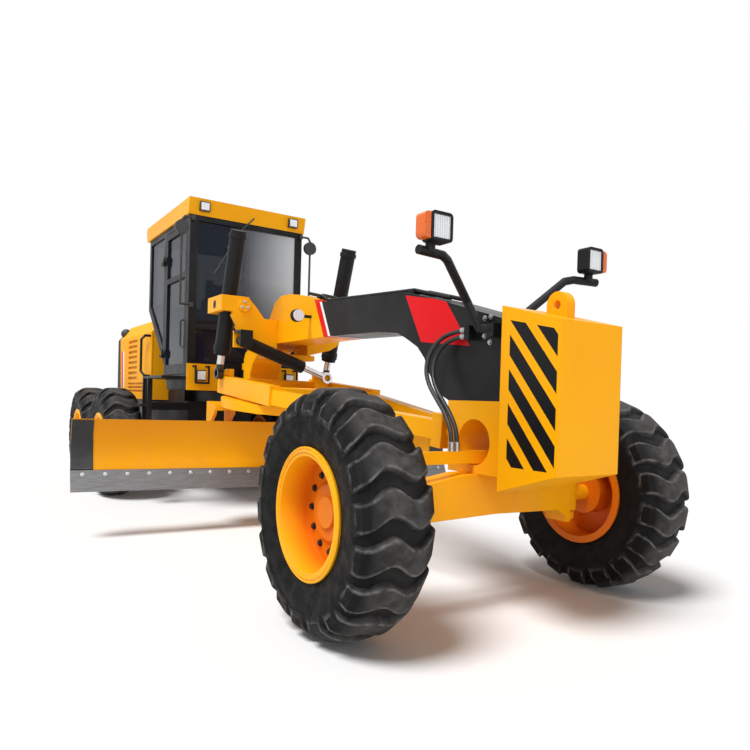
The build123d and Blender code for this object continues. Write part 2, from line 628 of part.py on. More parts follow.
# Rear frame
sill_x = MID_X + TYRE_R + 160
rail = block(REAR_END + 125, sill_x, RAIL_Y - RAIL_W / 2, RAIL_Y + RAIL_W / 2, RAIL_LOW, RAIL_HIGH)
frame = both(rail)
cross = ((HOOD_REAR + 100, HOOD_REAR + 250), (TANDEM_X - 95, TANDEM_X + 105), (sill_x - 200, sill_x))
for x0, x1 in cross:
    frame += block(x0, x1, -RAIL_Y, RAIL_Y, RAIL_LOW, RAIL_HIGH)
frame += block(HOOD_REAR, sill_x, -400, 400, RAIL_HIGH, DECK_TOP)
frame += block(HOOD_REAR, HOOD_FRONT, -HOOD_HALF, HOOD_HALF, RAIL_HIGH, DECK_TOP)
bumper = block(REAR_END, REAR_END + 130, -480, 480, 760, 1160)
bumper -= block(REAR_END - 10, REAR_END + 90, -90, 90, 900, 1000)
bumper -= Pos(REAR_END + 45, 0, 960) * Cylinder(28, 600)
frame += bumper
step_x = MID_X + TYRE_R + 95
frame += both(block(step_x, sill_x, 390, 870, RAIL_HIGH - 90, RAIL_HIGH))
write("rear_frame", frame)
tank_front = CAB_FRONT - 935
write("fuel_tank", block(HOOD_FRONT + 35, tank_front, -400, 400, DECK_TOP, 1580))

AXLE_Z = WHEEL_Z + 50
axle = rod((TANDEM_X, -590, AXLE_Z), (TANDEM_X, 590, AXLE_Z), 150)
axle += Pos(TANDEM_X, 0, AXLE_Z) * Sphere(250)
for y in (-RAIL_Y, RAIL_Y):
    axle += block(TANDEM_X - 140, TANDEM_X + 140, y - 50, y + 50, AXLE_Z, RAIL_LOW)
axle -= block(TANDEM_X - 400, TANDEM_X + 400, -300, 300, RAIL_LOW, RAIL_LOW + 300)
write("rear_axle", axle)

case = block(REAR_X, MID_X, 590, 800, WHEEL_Z - 190, WHEEL_Z + 190)
for x in (REAR_X, MID_X):
    case += rod((x, 590, WHEEL_Z), (x, 800, WHEEL_Z), 190)
    case += rod((x, 800, WHEEL_Z), (x, spindle_end, WHEEL_Z), SPINDLE_R)
write("tandem_cases", case, mirrored(case))
write("engine_block", block(HOOD_REAR + 300, HOOD_FRONT - 655, -300, 300, DECK_TOP, HOOD_EDGE - 180))


# Hood, hollow over the engine, with louvres pressed into its sides
def hood_outside(inset):
    half = HOOD_HALF - inset
    crown = half - SHOULDER
    section = [(-half, DECK_TOP), (-half, HOOD_EDGE), (-crown, HOOD_TOP - inset), (crown, HOOD_TOP - inset)]
    section += [(half, HOOD_EDGE), (half, DECK_TOP)]
    shape = front_plate(section, HOOD_REAR + inset, HOOD_FRONT - inset)
    slope = [(HOOD_REAR - 10, HOOD_TOP + 10), (HOOD_REAR + inset - 10, HOOD_EDGE - 40), (HOOD_REAR + 190, HOOD_TOP + 10)]
    return shape - side_plate(slope, -HOOD_HALF - 10, HOOD_HALF + 10)


skin = hood_outside(0)
hood = skin - hood_outside(HOOD_WALL)
hood -= block(HOOD_REAR - 10, HOOD_REAR + 100, -470, 470, 1300, 1860)
LOUVRE_PITCH = 74
LOUVRE_DEPTH = 20
slots = []
for row in range(8):
    z = 1470 + row * LOUVRE_PITCH
    slots.append(block(HOOD_REAR + 680, HOOD_REAR + 1195, HOOD_HALF - LOUVRE_DEPTH, HOOD_HALF + 5, z, z + 40))
for z in (1300, 1350, 1400):
    slots.append(block(HOOD_REAR + 680, HOOD_REAR + 1660, HOOD_HALF - LOUVRE_DEPTH, HOOD_HALF + 5, z, z + 25))
hood -= slots
hood -= [mirrored(s) for s in slots]
stack_x, stack_y = HOOD_FRONT - 505, 300
hood += block(stack_x - 100, stack_x + 100, stack_y - 100, stack_y + 100, HOOD_TOP - HOOD_WALL, HOOD_TOP + 50)
write("hood", hood)
grille = block(HOOD_REAR, HOOD_REAR + 30, -470, 470, 1300, 1860)
for z in range(1330, 1820, 60):
    grille -= block(HOOD_REAR - 5, HOOD_REAR + 40, -440, 440, z, z + 35)
write("hood_grille", grille)
exhaust = Pos(stack_x, stack_y, HOOD_TOP + 350) * (Cylinder(60, 600) - Pos(0, 0, 210) * Cylinder(48, 300))
write("exhaust", exhaust)
cap_x = HOOD_REAR + 190
write("filler_cap", Pos(cap_x, -HOOD_HALF + SHOULDER / 2, (HOOD_EDGE + HOOD_TOP) / 2) * Sphere(75) - skin)

# Cab
cab_line = [
    (CAB_FRONT, CAB_FLOOR),
    (CAB_FRONT, CAB_TOP),
    (CAB_REAR, CAB_TOP),
    (CAB_REAR, HOOD_TOP + 70),
    (CAB_FRONT - 875, 1610),
    (CAB_FRONT - 735, CAB_FLOOR),
]
inner_line = [
    (CAB_FRONT - CAB_WALL, CAB_FLOOR + 60),
    (CAB_FRONT - CAB_WALL, CAB_TOP - 60),
    (CAB_REAR + CAB_WALL, CAB_TOP - 60),
    (CAB_REAR + CAB_WALL, HOOD_TOP + 95),
    (CAB_FRONT - 840, 1630),
    (CAB_FRONT - 720, CAB_FLOOR + 60),
]
WINDOW_TOP = CAB_TOP - 60
DOOR_HIGH = CAB_TOP - 70
DOOR_FRONT = CAB_FRONT - 80
DOOR_REAR = DOOR_FRONT - DOOR_WIDTH
SPLIT = 2000
quarter_x = (DOOR_REAR - 75, CAB_REAR + 75)
quarter_line = [(quarter_x[0], DOOR_HIGH), (quarter_x[1], DOOR_HIGH), (quarter_x[1], 2390), (quarter_x[0], 1850)]
inside = CAB_HALF - CAB_WALL
half_light = CAB_HALF - POST
cab = side_plate(cab_line, -CAB_HALF, CAB_HALF) - side_plate(inner_line, -inside, inside)
for low, high in ((SILL, SPLIT), (SPLIT + WINDOW_BAR, WINDOW_TOP)):
    cab -= block(CAB_FRONT - 200, CAB_FRONT + 10, -half_light, half_light, low, high)
cab -= block(CAB_REAR - 10, CAB_REAR + 200, -half_light, half_light, 2420, WINDOW_TOP)
cab -= block(DOOR_REAR, DOOR_FRONT, -CAB_HALF - 10, CAB_HALF + 10, DOOR_LOW, DOOR_HIGH)
cab -= side_plate(quarter_line, -CAB_HALF - 10, CAB_HALF + 10)
PIN_Y = CAB_HALF + DOOR_EYE_R + 2
door_hinges = (DOOR_LOW + HINGE_GAPS[0], DOOR_HIGH - HINGE_GAPS[1])
for z in door_hinges:
    knuckle_plate = block(DOOR_REAR - 80, DOOR_REAR, CAB_HALF, PIN_Y + DOOR_EYE_R, z - 40, z - 2)
    knuckle_plate += Pos(DOOR_REAR, PIN_Y, z + 12) * Cylinder(DOOR_PIN_R, 104)
    cab += both(knuckle_plate)
write("cab_frame", cab)
roof_line = [
    (CAB_FRONT, CAB_TOP),
    (CAB_REAR - 70, CAB_TOP),
    (CAB_REAR - 100, ROOF_TOP - 35),
    (CAB_REAR - 60, ROOF_TOP),
    (CAB_FRONT + 40, ROOF_TOP),
]
roof = side_plate(roof_line, -CAB_HALF - 23, CAB_HALF + 23)
write("cab_roof", roof)
glass_x = CAB_FRONT - 20
panes = [block(glass_x - GLASS_T, glass_x, -half_light, half_light, SILL, SPLIT)]
panes.append(block(glass_x - GLASS_T, glass_x, -half_light, half_light, SPLIT + WINDOW_BAR, WINDOW_TOP))
panes.append(block(CAB_REAR + 20, CAB_REAR + 20 + GLASS_T, -half_light, half_light, 2420, WINDOW_TOP))
quarter = side_plate(quarter_line, CAB_HALF - 25, CAB_HALF - 25 + GLASS_T)
write("cab_glass", *panes, quarter, mirrored(quarter))

DOOR_BAR = DOOR_HIGH - 590
window = (DOOR_REAR + 70, DOOR_FRONT - 70)
lights = ((DOOR_LOW + 120, DOOR_BAR), (DOOR_BAR + WINDOW_BAR, DOOR_HIGH - 70))
door = block(DOOR_REAR + FREE, DOOR_FRONT - FREE, inside, CAB_HALF, DOOR_LOW + FREE, DOOR_HIGH - FREE)
for light in lights:
    door -= block(*window, inside - 10, CAB_HALF + 10, *light)
for z in door_hinges:
    door += block(DOOR_REAR, DOOR_REAR + 70, CAB_HALF, PIN_Y, z, z + 40)
    door += Pos(DOOR_REAR, PIN_Y, z + 20) * Cylinder(DOOR_EYE_R, 40)
    door -= Pos(DOOR_REAR, PIN_Y, z + 20) * Cylinder(DOOR_PIN_R + RUN, 60)
door_panes = [block(*window, inside + 20, inside + 20 + GLASS_T, *light) for light in lights]
write("door_left", door)
write("door_left_glass", *door_panes)
write("door_right", mirrored(door))
write("door_right_glass", *[mirrored(p) for p in door_panes])

seat_back = CAB_FRONT - 925
seat = block(seat_back, seat_back + 500, -250, 250, 1800, 1900)
seat += block(seat_back, seat_back + 110, -250, 250, 1880, 2480)
seat += block(seat_back + 20, seat_back + 90, -140, 140, 2480, 2640)
seat += block(seat_back + 220, seat_back + 420, -120, 120, CAB_FLOOR + 60, 1810)
write("seat", seat)
desk = CAB_FRONT - 215
console = block(desk, desk + 100, -110, 110, CAB_FLOOR + 60, 1980)
console += rod((desk + 40, 0, 1950), (desk, 0, 2100), 25)
column = Plane(origin=(desk, 0, 2100), z_dir=(-40, 0, 150))
console += column * (Cylinder(165, 24) - Cylinder(140, 50) + Box(300, 40, 20))
write("control_console", console)

# Steps, rails, mirrors and lamps
LADDER_W = 240
ladder_x = (step_x, step_x + LADDER_W - 30)
ladder = block(step_x, CAB_FRONT - 50, 680, 920, CAB_FLOOR + 120, CAB_FLOOR + 150)
ladder += block(step_x, step_x + 90, 870, 900, RAIL_HIGH - 90, CAB_FLOOR + 125)
for x in ladder_x:
    ladder += block(x, x + 30, 870, 920, 560, CAB_FLOOR + 130)
for z in (570, 850, 1130):
    ladder += block(step_x, step_x + LADDER_W, 870, 1000, z, z + 30)
write("steps", ladder, mirrored(ladder))
rail_y = HOOD_HALF + 70
loop = [(HOOD_FRONT - 45, HOOD_HALF, 2030), (HOOD_FRONT - 45, rail_y, 2030), (HOOD_FRONT - 240, rail_y, 1995)]
loop += [(HOOD_FRONT - 240, rail_y, 1570), (HOOD_FRONT - 45, rail_y, 1510), (HOOD_FRONT - 45, HOOD_HALF, 1510)]
guard_x = CAB_FRONT + 95
guard = [(CAB_FRONT, 455, 1590), (guard_x, 455, 1590), (guard_x, 455, 1410), (guard_x, 600, 1410)]
guard += [(guard_x, 600, 1590), (CAB_FRONT, 600, 1590)]
loops = [pipe(loop, 16), pipe(guard, 11)]
write("handrails", *loops, *[mirrored(s) for s in loops])
pole_x = CAB_FRONT + 25
pole_low = CAB_TOP - 980
pole = [(pole_x, 640, CAB_TOP - 45), (pole_x, 735, CAB_TOP - 45), (pole_x, 765, CAB_TOP - 85), (pole_x, 765, pole_low)]
mirror_arm = pipe(pole + [(pole_x, 640, pole_low)], 12)
for z in (pole_low, CAB_TOP - 45):
    mirror_arm += block(CAB_FRONT, pole_x + 15, 625, 660, z - 25, z + 25)
mirror_arm += rod((pole_x - 25, 765, CAB_TOP - 165), (pole_x + 20, 765, CAB_TOP - 165), 75)
write("mirrors", mirror_arm, mirrored(mirror_arm))
roof_lamp = block(CAB_FRONT, CAB_FRONT + 60, 470, 580, CAB_TOP + 40, CAB_TOP + 140) - roof
low_lamp = block(CAB_FRONT, CAB_FRONT + 70, 480, 575, 1435, 1550)
rear_lamp = block(CAB_REAR - 150, CAB_REAR - 50, 470, 600, CAB_TOP + 20, ROOF_TOP - 55) - roof
write("work_lamps", *[s for lamp in (roof_lamp, low_lamp, rear_lamp) for s in (lamp, mirrored(lamp))])
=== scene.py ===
# %% [markdown]
# The imported CAD model is the fixed frame of this scene: every node of it keeps its place, and what is
# added here rides on one of its bodies.

# %% Load the frame
import math

import bmesh
import bpy
from mathutils import Matrix, Vector


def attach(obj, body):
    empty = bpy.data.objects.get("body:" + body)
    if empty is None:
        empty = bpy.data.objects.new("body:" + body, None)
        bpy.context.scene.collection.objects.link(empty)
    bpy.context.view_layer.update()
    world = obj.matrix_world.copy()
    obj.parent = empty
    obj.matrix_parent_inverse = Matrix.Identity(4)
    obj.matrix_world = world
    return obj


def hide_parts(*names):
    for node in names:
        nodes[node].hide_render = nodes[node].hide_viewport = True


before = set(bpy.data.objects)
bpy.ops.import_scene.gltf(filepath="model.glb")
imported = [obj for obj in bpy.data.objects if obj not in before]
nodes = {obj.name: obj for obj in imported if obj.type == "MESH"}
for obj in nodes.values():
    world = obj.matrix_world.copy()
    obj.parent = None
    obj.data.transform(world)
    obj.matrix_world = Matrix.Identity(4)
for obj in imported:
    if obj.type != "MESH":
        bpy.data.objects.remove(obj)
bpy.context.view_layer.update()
scene = bpy.context.scene
scene.view_settings.view_transform = "Standard"

# %% [markdown]
# The photograph was taken low, off the grader's right front corner, with a lens wide enough to make the
# near wheel large. A camera could be aimed at a target, but its place, turn and tilt are known from the
# machine's own corners, so its axes are written straight into its matrix.

# %% Camera
CAMERA_AT = (6.635, -2.836, 1.28)
CAMERA_YAW, CAMERA_PITCH, CAMERA_ROLL = (math.radians(a) for a in (146.186, -0.865, 1.653))
camera_data = bpy.data.cameras.new("camera")
camera_data.lens = 31.387
camera_data.shift_x = -0.01
camera_data.shift_y = 0.0467
camera = bpy.data.objects.new("camera", camera_data)
scene.collection.objects.link(camera)
ahead = Vector((math.cos(CAMERA_YAW), math.sin(CAMERA_YAW), math.tan(CAMERA_PITCH))).normalized()
level = Vector((math.sin(CAMERA_YAW), -math.cos(CAMERA_YAW), 0))
upright = level.cross(ahead)
right = math.cos(CAMERA_ROLL) * level + math.sin(CAMERA_ROLL) * upright
up = math.cos(CAMERA_ROLL) * upright - math.sin(CAMERA_ROLL) * level
camera.matrix_world = Matrix.Translation(CAMERA_AT) @ Matrix((right, up, -ahead)).transposed().to_4x4()
scene.camera = camera
print("camera", CAMERA_AT, "lens", camera_data.lens)

# %% [markdown]
# Two hydraulic hoses leave a port on the gooseneck's side, droop back over the open corner of the nose
# and come down to the lean bar. A swept tube would show every corner of its route. A NURBS spline with
# the route's points as its control points bends the way a stiff hose does.

# %% Hoses
HOSE_RADIUS = 0.014
HOSE_OUTER = [
    (3.600, -0.196, 1.722), (3.495, -0.196, 1.722), (3.385, -0.234, 1.682), (3.325, -0.272, 1.590),
    (3.322, -0.296, 1.480), (3.370, -0.304, 1.385), (3.455, -0.308, 1.300), (3.545, -0.316, 1.220),
    (3.612, -0.326, 1.140), (3.640, -0.330, 1.065), (3.640, -0.330, 0.988),
]
HOSE_INNER = [
    (3.600, -0.196, 1.684), (3.502, -0.196, 1.684), (3.398, -0.222, 1.640), (3.346, -0.246, 1.556),
    (3.350, -0.264, 1.458), (3.402, -0.276, 1.372), (3.480, -0.283, 1.294), (3.560, -0.287, 1.218),
    (3.617, -0.289, 1.140), (3.640, -0.288, 1.065), (3.640, -0.288, 0.988),
]


def hose_curve(name, route):
    curve = bpy.data.curves.new(name, "CURVE")
    curve.dimensions = "3D"
    curve.bevel_depth = 1.0
    curve.bevel_resolution = 4
    curve.resolution_u = 8
    curve.use_fill_caps = True
    spline = curve.splines.new("NURBS")
    spline.points.add(len(route) - 1)
    for point, place in zip(spline.points, route):
        point.co = (*place, 1)
        point.radius = HOSE_RADIUS
    spline.order_u = 3
    spline.use_endpoint_u = True
    piece = bpy.data.objects.new(name, curve)
    scene.collection.objects.link(piece)
    return piece


hoses = {}
for name, route, length in (("hose_outer", HOSE_OUTER, 1.055), ("hose_inner", HOSE_INNER, 0.979)):
    piece = hose_curve(name + "_line", route)
    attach(piece, "front_frame")
    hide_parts(name)
    hoses[name] = piece
    print(name, "length", length)

# %% [markdown]
# The machine stands on a plain white studio floor. One broad sun stands high on its right and throws its
# shadow to its left, and a weaker one, flagged off the floor, lights its front. The floor could be
# flooded until it clips, but then the yellow would wash out. Here the sky is dim for the machine and
# white only to the camera and in reflections, and the floor keeps its shadow.

# %% Floor and light
LIGHT_PATHS = ("Is Camera Ray", "Is Glossy Ray", "Is Transmission Ray")
SKY_LIGHT = 0.22
FLOOR_TONE = 0.93
FLOOR_GLOW = 0.03


def seen_directly(tree):
    path = tree.nodes.new("ShaderNodeLightPath")
    seen = path.outputs[LIGHT_PATHS[0]]
    for ray in LIGHT_PATHS[1:]:
        either = tree.nodes.new("ShaderNodeMath")
        either.operation = "MAXIMUM"
        tree.links.new(seen, either.inputs[0])
        tree.links.new(path.outputs[ray], either.inputs[1])
        seen = either.outputs[0]
    return seen


world = bpy.data.worlds.new("studio")
world.use_nodes = True
scene.world = world
air = world.node_tree
backdrop = air.nodes["Background"]
backdrop.inputs["Color"].default_value = (1, 1, 1, 1)
strength = air.nodes.new("ShaderNodeMapRange")
strength.inputs["To Min"].default_value = SKY_LIGHT
strength.inputs["To Max"].default_value = 1.0
air.links.new(seen_directly(air), strength.inputs["Value"])
air.links.new(strength.outputs["Result"], backdrop.inputs["Strength"])

bpy.ops.mesh.primitive_plane_add(size=120)
floor = bpy.context.object
floor.name = "floor"
floor_paint = bpy.data.materials.new("studio_floor")
floor_paint.use_nodes = True
tree = floor_paint.node_tree
shell = tree.nodes["Principled BSDF"]
shell.inputs["Base Color"].default_value = (FLOOR_TONE, FLOOR_TONE, FLOOR_TONE, 1)
shell.inputs["Roughness"].default_value = 0.9
shell.inputs["Emission Color"].default_value = (1, 1, 1, 1)
glow = tree.nodes.new("ShaderNodeMath")
glow.operation = "MULTIPLY"
glow.inputs[1].default_value = FLOOR_GLOW
tree.links.new(seen_directly(tree), glow.inputs[0])
tree.links.new(glow.outputs[0], shell.inputs["Emission Strength"])
floor.data.materials.append(floor_paint)

for name, power, spread, direction in (
    ("key", 3.15, 24, (-0.12, 0.58, -1.0)),
    ("fill", 1.15, 60, (-1.0, 0.30, -0.32)),
):
    lamp_data = bpy.data.lights.new(name, "SUN")
    lamp_data.energy = power
    lamp_data.angle = math.radians(spread)
    lamp = bpy.data.objects.new(name, lamp_data)
    lamp.rotation_euler = Vector(direction).to_track_quat("-Z", "Y").to_euler()
    scene.collection.objects.link(lamp)
    if name == "fill":
        flagged = bpy.data.collections.new("flagged")
        flagged.objects.link(floor)
        flagged.collection_objects[0].light_linking.link_state = "EXCLUDE"
        lamp.light_linking.receiver_collection = flagged

# %% [markdown]
# Finishes are node trees. Drawing them link by link hides the sums, so one small class wraps a socket
# and turns Python's operators into Math nodes. A second one holds a material while it is being made:
# one method adds any other node, and another closes the tree with a Principled shader.


# %% Shader maths
class Wire:
    def __init__(self, tree, socket):
        self.tree = tree
        self.socket = socket

    def math(self, operation, *values):
        node = self.tree.nodes.new("ShaderNodeMath")
        node.operation = operation
        for slot, value in zip(node.inputs, values):
            join(self.tree, slot, value)
        return Wire(self.tree, node.outputs[0])

    def __add__(self, other):
        return self.math("ADD", self, other)

    def __sub__(self, other):
        return self.math("SUBTRACT", self, other)

    def __rsub__(self, other):
        return self.math("SUBTRACT", other, self)

    def __mul__(self, other):
        return self.math("MULTIPLY", self, other)

    def __gt__(self, other):
        return self.math("GREATER_THAN", self, other)

    def __lt__(self, other):
        return self.math("LESS_THAN", self, other)

    def __mod__(self, other):
        return self.math("FLOORED_MODULO", self, other)

    def __abs__(self):
        return self.math("ABSOLUTE", self)

    __radd__ = __add__
    __rmul__ = __mul__


def join(tree, slot, value):
    if isinstance(value, Wire):
        tree.links.new(value.socket, slot)
    else:
        slot.default_value = value


class Finish:
    def __init__(self, name):
        self.material = bpy.data.materials.new(name)
        self.material.use_nodes = True
        self.tree = self.material.node_tree
        self.shader = self.tree.nodes["Principled BSDF"]
        place = self.node("ShaderNodeTexCoord", output="Object")
        self.place = place
        self.x, self.y, self.z = (
            self.node("ShaderNodeSeparateXYZ", sockets={"Vector": place}, output=axis) for axis in "XYZ"
        )

    def node(self, kind, settings=(), sockets=(), output=0):
        node = self.tree.nodes.new(kind)
        for key, value in dict(settings).items():
            setattr(node, key, value)
        for key, value in dict(sockets).items():
            join(self.tree, node.inputs[key], value)
        return Wire(self.tree, node.outputs[output])

    def noise(self, scale, detail=3.0, where=None):
        sockets = {"Vector": where or self.place, "Scale": scale, "Detail": detail}
        return self.node("ShaderNodeTexNoise", sockets=sockets)

    def mix(self, share, first, second):
        sockets = {0: share, 6: first, 7: second}
        return self.node("ShaderNodeMix", {"data_type": "RGBA"}, sockets, output=2)

    def span(self, value, low, high, start=0.0, end=1.0):
        sockets = {"Value": value, "From Min": low, "From Max": high, "To Min": start, "To Max": end}
        return self.node("ShaderNodeMapRange", {"clamp": True}, sockets)

    def between(self, value, low, high):
        return (value > low) * (value < high)

    def bump(self, height, depth, strength=1.0, edge=0.0):
        sockets = {"Height": height, "Distance": depth, "Strength": strength}
        if edge:
            sockets["Normal"] = self.node("ShaderNodeBevel", {"samples": 4}, {"Radius": edge})
        return self.node("ShaderNodeBump", sockets=sockets, output="Normal")

    def close(self, **sockets):
        for key, value in sockets.items():
            join(self.tree, self.shader.inputs[key.replace("_", " ")], value)
        return self.material


print("shader helpers ready")

# %% [markdown]
# Construction machines wear a thick glossy enamel. One flat colour would look like plastic, so the
# enamel's tone drifts a little, its gloss is uneven, low places hold a film of dust, and a fine waviness
# bends its highlights. A rounded normal at the plates' edges catches light as a real sprayed edge does.
# The wheels' wells are painted a darker, deeper orange than their flanges, as painted shade deep inside the
# rims.

# %% Enamel
YELLOW = (0.97, 0.44, 0.003, 1)
YELLOW_DEEP = (0.92, 0.37, 0.003, 1)
RIM_WELL_SHADE = (0.70, 0.15, 0.003, 1)
BLACK = (0.007, 0.007, 0.008, 1)
BLACK_WORN = (0.016, 0.016, 0.017, 1)
RED = (0.74, 0.006, 0.010, 1)
WHITE = (0.86, 0.86, 0.85, 1)
DUST = (0.36, 0.29, 0.2, 1)
PAINT_EDGE = 0.006
PAINT_SHEEN = 0.15
WELL_MOUTH, WELL_FLOOR = 1.245, 1.12


def enamel(finish, main, deep):
    drift = finish.noise(0.9, 4.0)
    tone = finish.mix(finish.span(drift, 0.35, 0.7), main, deep)
    film = finish.span(finish.z, 1.1, 0.3) * finish.span(finish.noise(5.0, 6.0), 0.45, 0.75)
    return finish.mix(film * 0.12, tone, DUST)


def dark_enamel(finish):
    return finish.mix(finish.span(finish.noise(4.0), 0.35, 0.7), BLACK, BLACK_WORN)


def gloss(finish, low, high):
    smear = finish.noise(3.0, 5.0)
    ripple = finish.noise(38.0, 2.0)
    return {
        "Roughness": finish.span(smear, 0.3, 0.7, low, high),
        "Normal": finish.bump(ripple, 0.0012, 0.25, PAINT_EDGE),
        "Specular_IOR_Level": PAINT_SHEEN,
    }


def plain_enamel(name, main, deep, low, high):
    finish = Finish(name)
    return finish.close(Base_Color=enamel(finish, main, deep), **gloss(finish, low, high))


def rim_enamel(name):
    finish = Finish(name)
    # Painted shade: the colour darkens to a deeper orange from the well's mouth down to its floor.
    well = finish.span(abs(finish.y), WELL_MOUTH, WELL_FLOOR)
    coat = finish.mix(well, enamel(finish, YELLOW, YELLOW_DEEP), RIM_WELL_SHADE)
    return finish.close(Base_Color=coat, **gloss(finish, 0.3, 0.42))


yellow = plain_enamel("yellow_enamel", YELLOW, YELLOW_DEEP, 0.3, 0.42)
rim_paint = rim_enamel("rim_enamel")
black = plain_enamel("black_enamel", BLACK, BLACK_WORN, 0.32, 0.5)
grey = plain_enamel("grey_enamel", (0.07, 0.07, 0.075, 1), (0.045, 0.045, 0.05, 1), 0.4, 0.55)
print("enamels", yellow.name, rim_paint.name, black.name, grey.name)

# %% [markdown]
# The gooseneck is sprayed in two colours: yellow behind, black in front, parted by a slanted red and a
# white band, with a red slanted panel near the nose and a yellow foot under it. Decals could be separate
# thin plates. Masks on the frame's own X and Z keep the paint flush, as tape and spray would.

# %% Two-colour gooseneck
BAND_FOOT = (1.834, 1.795)
BAND_LEAN = 0.5415
RED_BAND, WHITE_BAND = 0.115, 0.035
BLACK_FOOT = 1.292
PANEL_TOP, PANEL_LOW = (2.896, 2.018, 0.184), (3.091, 1.681, 0.108)
PANEL_BACK, PANEL_FRONT = (3.091, 1.681, 0.5786), (3.591, 1.627, 0.809)
NECK_SIDE = 0.16


def two_colours(name):
    finish = Finish(name)
    x, z = finish.x, finish.z
    along = x - (BAND_FOOT[0] - BAND_LEAN * (z - BAND_FOOT[1]))
    black_part = (along > 0) * (z > BLACK_FOOT)
    coat = finish.mix(black_part, enamel(finish, YELLOW, YELLOW_DEEP), dark_enamel(finish))
    coat = finish.mix(finish.between(along, -RED_BAND, -WHITE_BAND), coat, RED)
    coat = finish.mix(finish.between(along, -WHITE_BAND, 0), coat, WHITE)
    under = z < PANEL_TOP[1] - PANEL_TOP[2] * (x - PANEL_TOP[0])
    over = z > PANEL_LOW[1] - PANEL_LOW[2] * (x - PANEL_LOW[0])
    ahead_of = x + PANEL_BACK[2] * (z - PANEL_BACK[1]) > PANEL_BACK[0]
    behind = x + PANEL_FRONT[2] * (z - PANEL_FRONT[1]) < PANEL_FRONT[0]
    panel = under * over * ahead_of * behind * (abs(finish.y) > NECK_SIDE)
    coat = finish.mix(panel, coat, RED)
    return finish.close(Base_Color=coat, **gloss(finish, 0.28, 0.42))


gooseneck_paint = two_colours("gooseneck_enamel")
print("bands on", gooseneck_paint.name)

# %% [markdown]
# The counterweight carries black warning stripes in a framed field on each side. Stripes repeat evenly,
# so the slant's distance is wrapped with a modulo and compared with the stripe's share of the pitch.

# %% Striped counterweight
STRIPE_SLOPE, STRIPE_PITCH, STRIPE_WIDTH = 1.18, 0.191, 0.114
STRIPE_FOOT = (4.012, 1.550)
FIELD_X, FIELD_LOW = (4.012, 4.355), 0.93
FIELD_TOP, FIELD_FALL = 1.743, 0.213
WEIGHT_SIDE = 0.24


def striped(name):
    finish = Finish(name)
    slant = finish.z + STRIPE_SLOPE * (finish.x - STRIPE_FOOT[0]) - STRIPE_FOOT[1]
    field = finish.between(finish.x, *FIELD_X) * (finish.z > FIELD_LOW)
    field = field * (finish.z < FIELD_TOP - FIELD_FALL * (finish.x - FIELD_X[0]))
    stripe = (slant % STRIPE_PITCH < STRIPE_WIDTH) * field * (abs(finish.y) > WEIGHT_SIDE)
    coat = finish.mix(stripe, enamel(finish, YELLOW, YELLOW_DEEP), BLACK)
    return finish.close(Base_Color=coat, **gloss(finish, 0.3, 0.42))


weight_paint = striped("striped_enamel")
print("stripes on", weight_paint.name)

# %% [markdown]
# Other pieces are two-coloured as well: the cab is black with a yellow plate under its windshield, the hood
# has a black tail, a slanted band and painted shade in its louvre pockets, the saddle's cylinder fork is
# black, and so are the eyes of the lift rods, the blade's two ends and the upper end bits of its edge. The
# blade's upper half is painted a deeper orange, as painted shade under its own curl.

# %% Cab, hood, saddle and blade paint
PLATE_TOP, PLATE_BACK = 1.62, -0.44
HOOD_SIDE, POCKET_FLOOR, POCKET_TOP = 0.606, 0.591, 2.06
POCKET_SHADE = (0.50, 0.17, 0.003, 1)
HOOD_SLANT, HOOD_MIDDLE, HOOD_BAND_Z = 0.1, 1.62, (1.36, 1.90)
HOOD_RED, HOOD_WHITE, HOOD_TAIL = (-3.795, -3.70), (-3.70, -3.63), -3.86
FORK_FRONT, FORK_SIDE, FORK_TOP = 0.779, -0.42, 1.95
CIRCLE_CENTRE, BLADE_YAW = Vector((0.826479, 0, 1.203874)), math.radians(-5)
BLADE_CURL_SHADE = (0.62, 0.20, 0.003, 1)
BLADE_SHADE_FOOT, BLADE_TOP = 0.66, 1.03
BLADE_END, BLADE_END_TOP = 1.768, 0.86


def cab_colours(name):
    finish = Finish(name)
    plate = (finish.z < PLATE_TOP) * (finish.x > PLATE_BACK)
    coat = finish.mix(plate, dark_enamel(finish), enamel(finish, YELLOW, YELLOW_DEEP))
    return finish.close(Base_Color=coat, **gloss(finish, 0.32, 0.5))


def hood_colours(name):
    finish = Finish(name)
    side = abs(finish.y)
    slant = finish.x + HOOD_SLANT * (finish.z - HOOD_MIDDLE)
    band = (side > HOOD_SIDE) * finish.between(finish.z, *HOOD_BAND_Z)
    pocket = finish.between(side, POCKET_FLOOR, HOOD_SIDE) * (finish.z < POCKET_TOP)
    coat = enamel(finish, YELLOW, YELLOW_DEEP)
    coat = finish.mix(finish.between(slant, *HOOD_RED) * band, coat, RED)
    coat = finish.mix(finish.between(slant, *HOOD_WHITE) * band, coat, WHITE)
    # Painted shade darkens the louvre pockets towards a deep orange.
    coat = finish.mix(pocket * 0.6, coat, POCKET_SHADE)
    coat = finish.mix(slant < HOOD_TAIL, coat, dark_enamel(finish))
    return finish.close(Base_Color=coat, **gloss(finish, 0.5, 0.62))


def saddle_colours(name):
    finish = Finish(name)
    fork = (finish.x > FORK_FRONT) * (finish.y < FORK_SIDE) * (finish.z < FORK_TOP)
    coat = finish.mix(fork, enamel(finish, YELLOW, YELLOW_DEEP), dark_enamel(finish))
    return finish.close(Base_Color=coat, **gloss(finish, 0.3, 0.42))


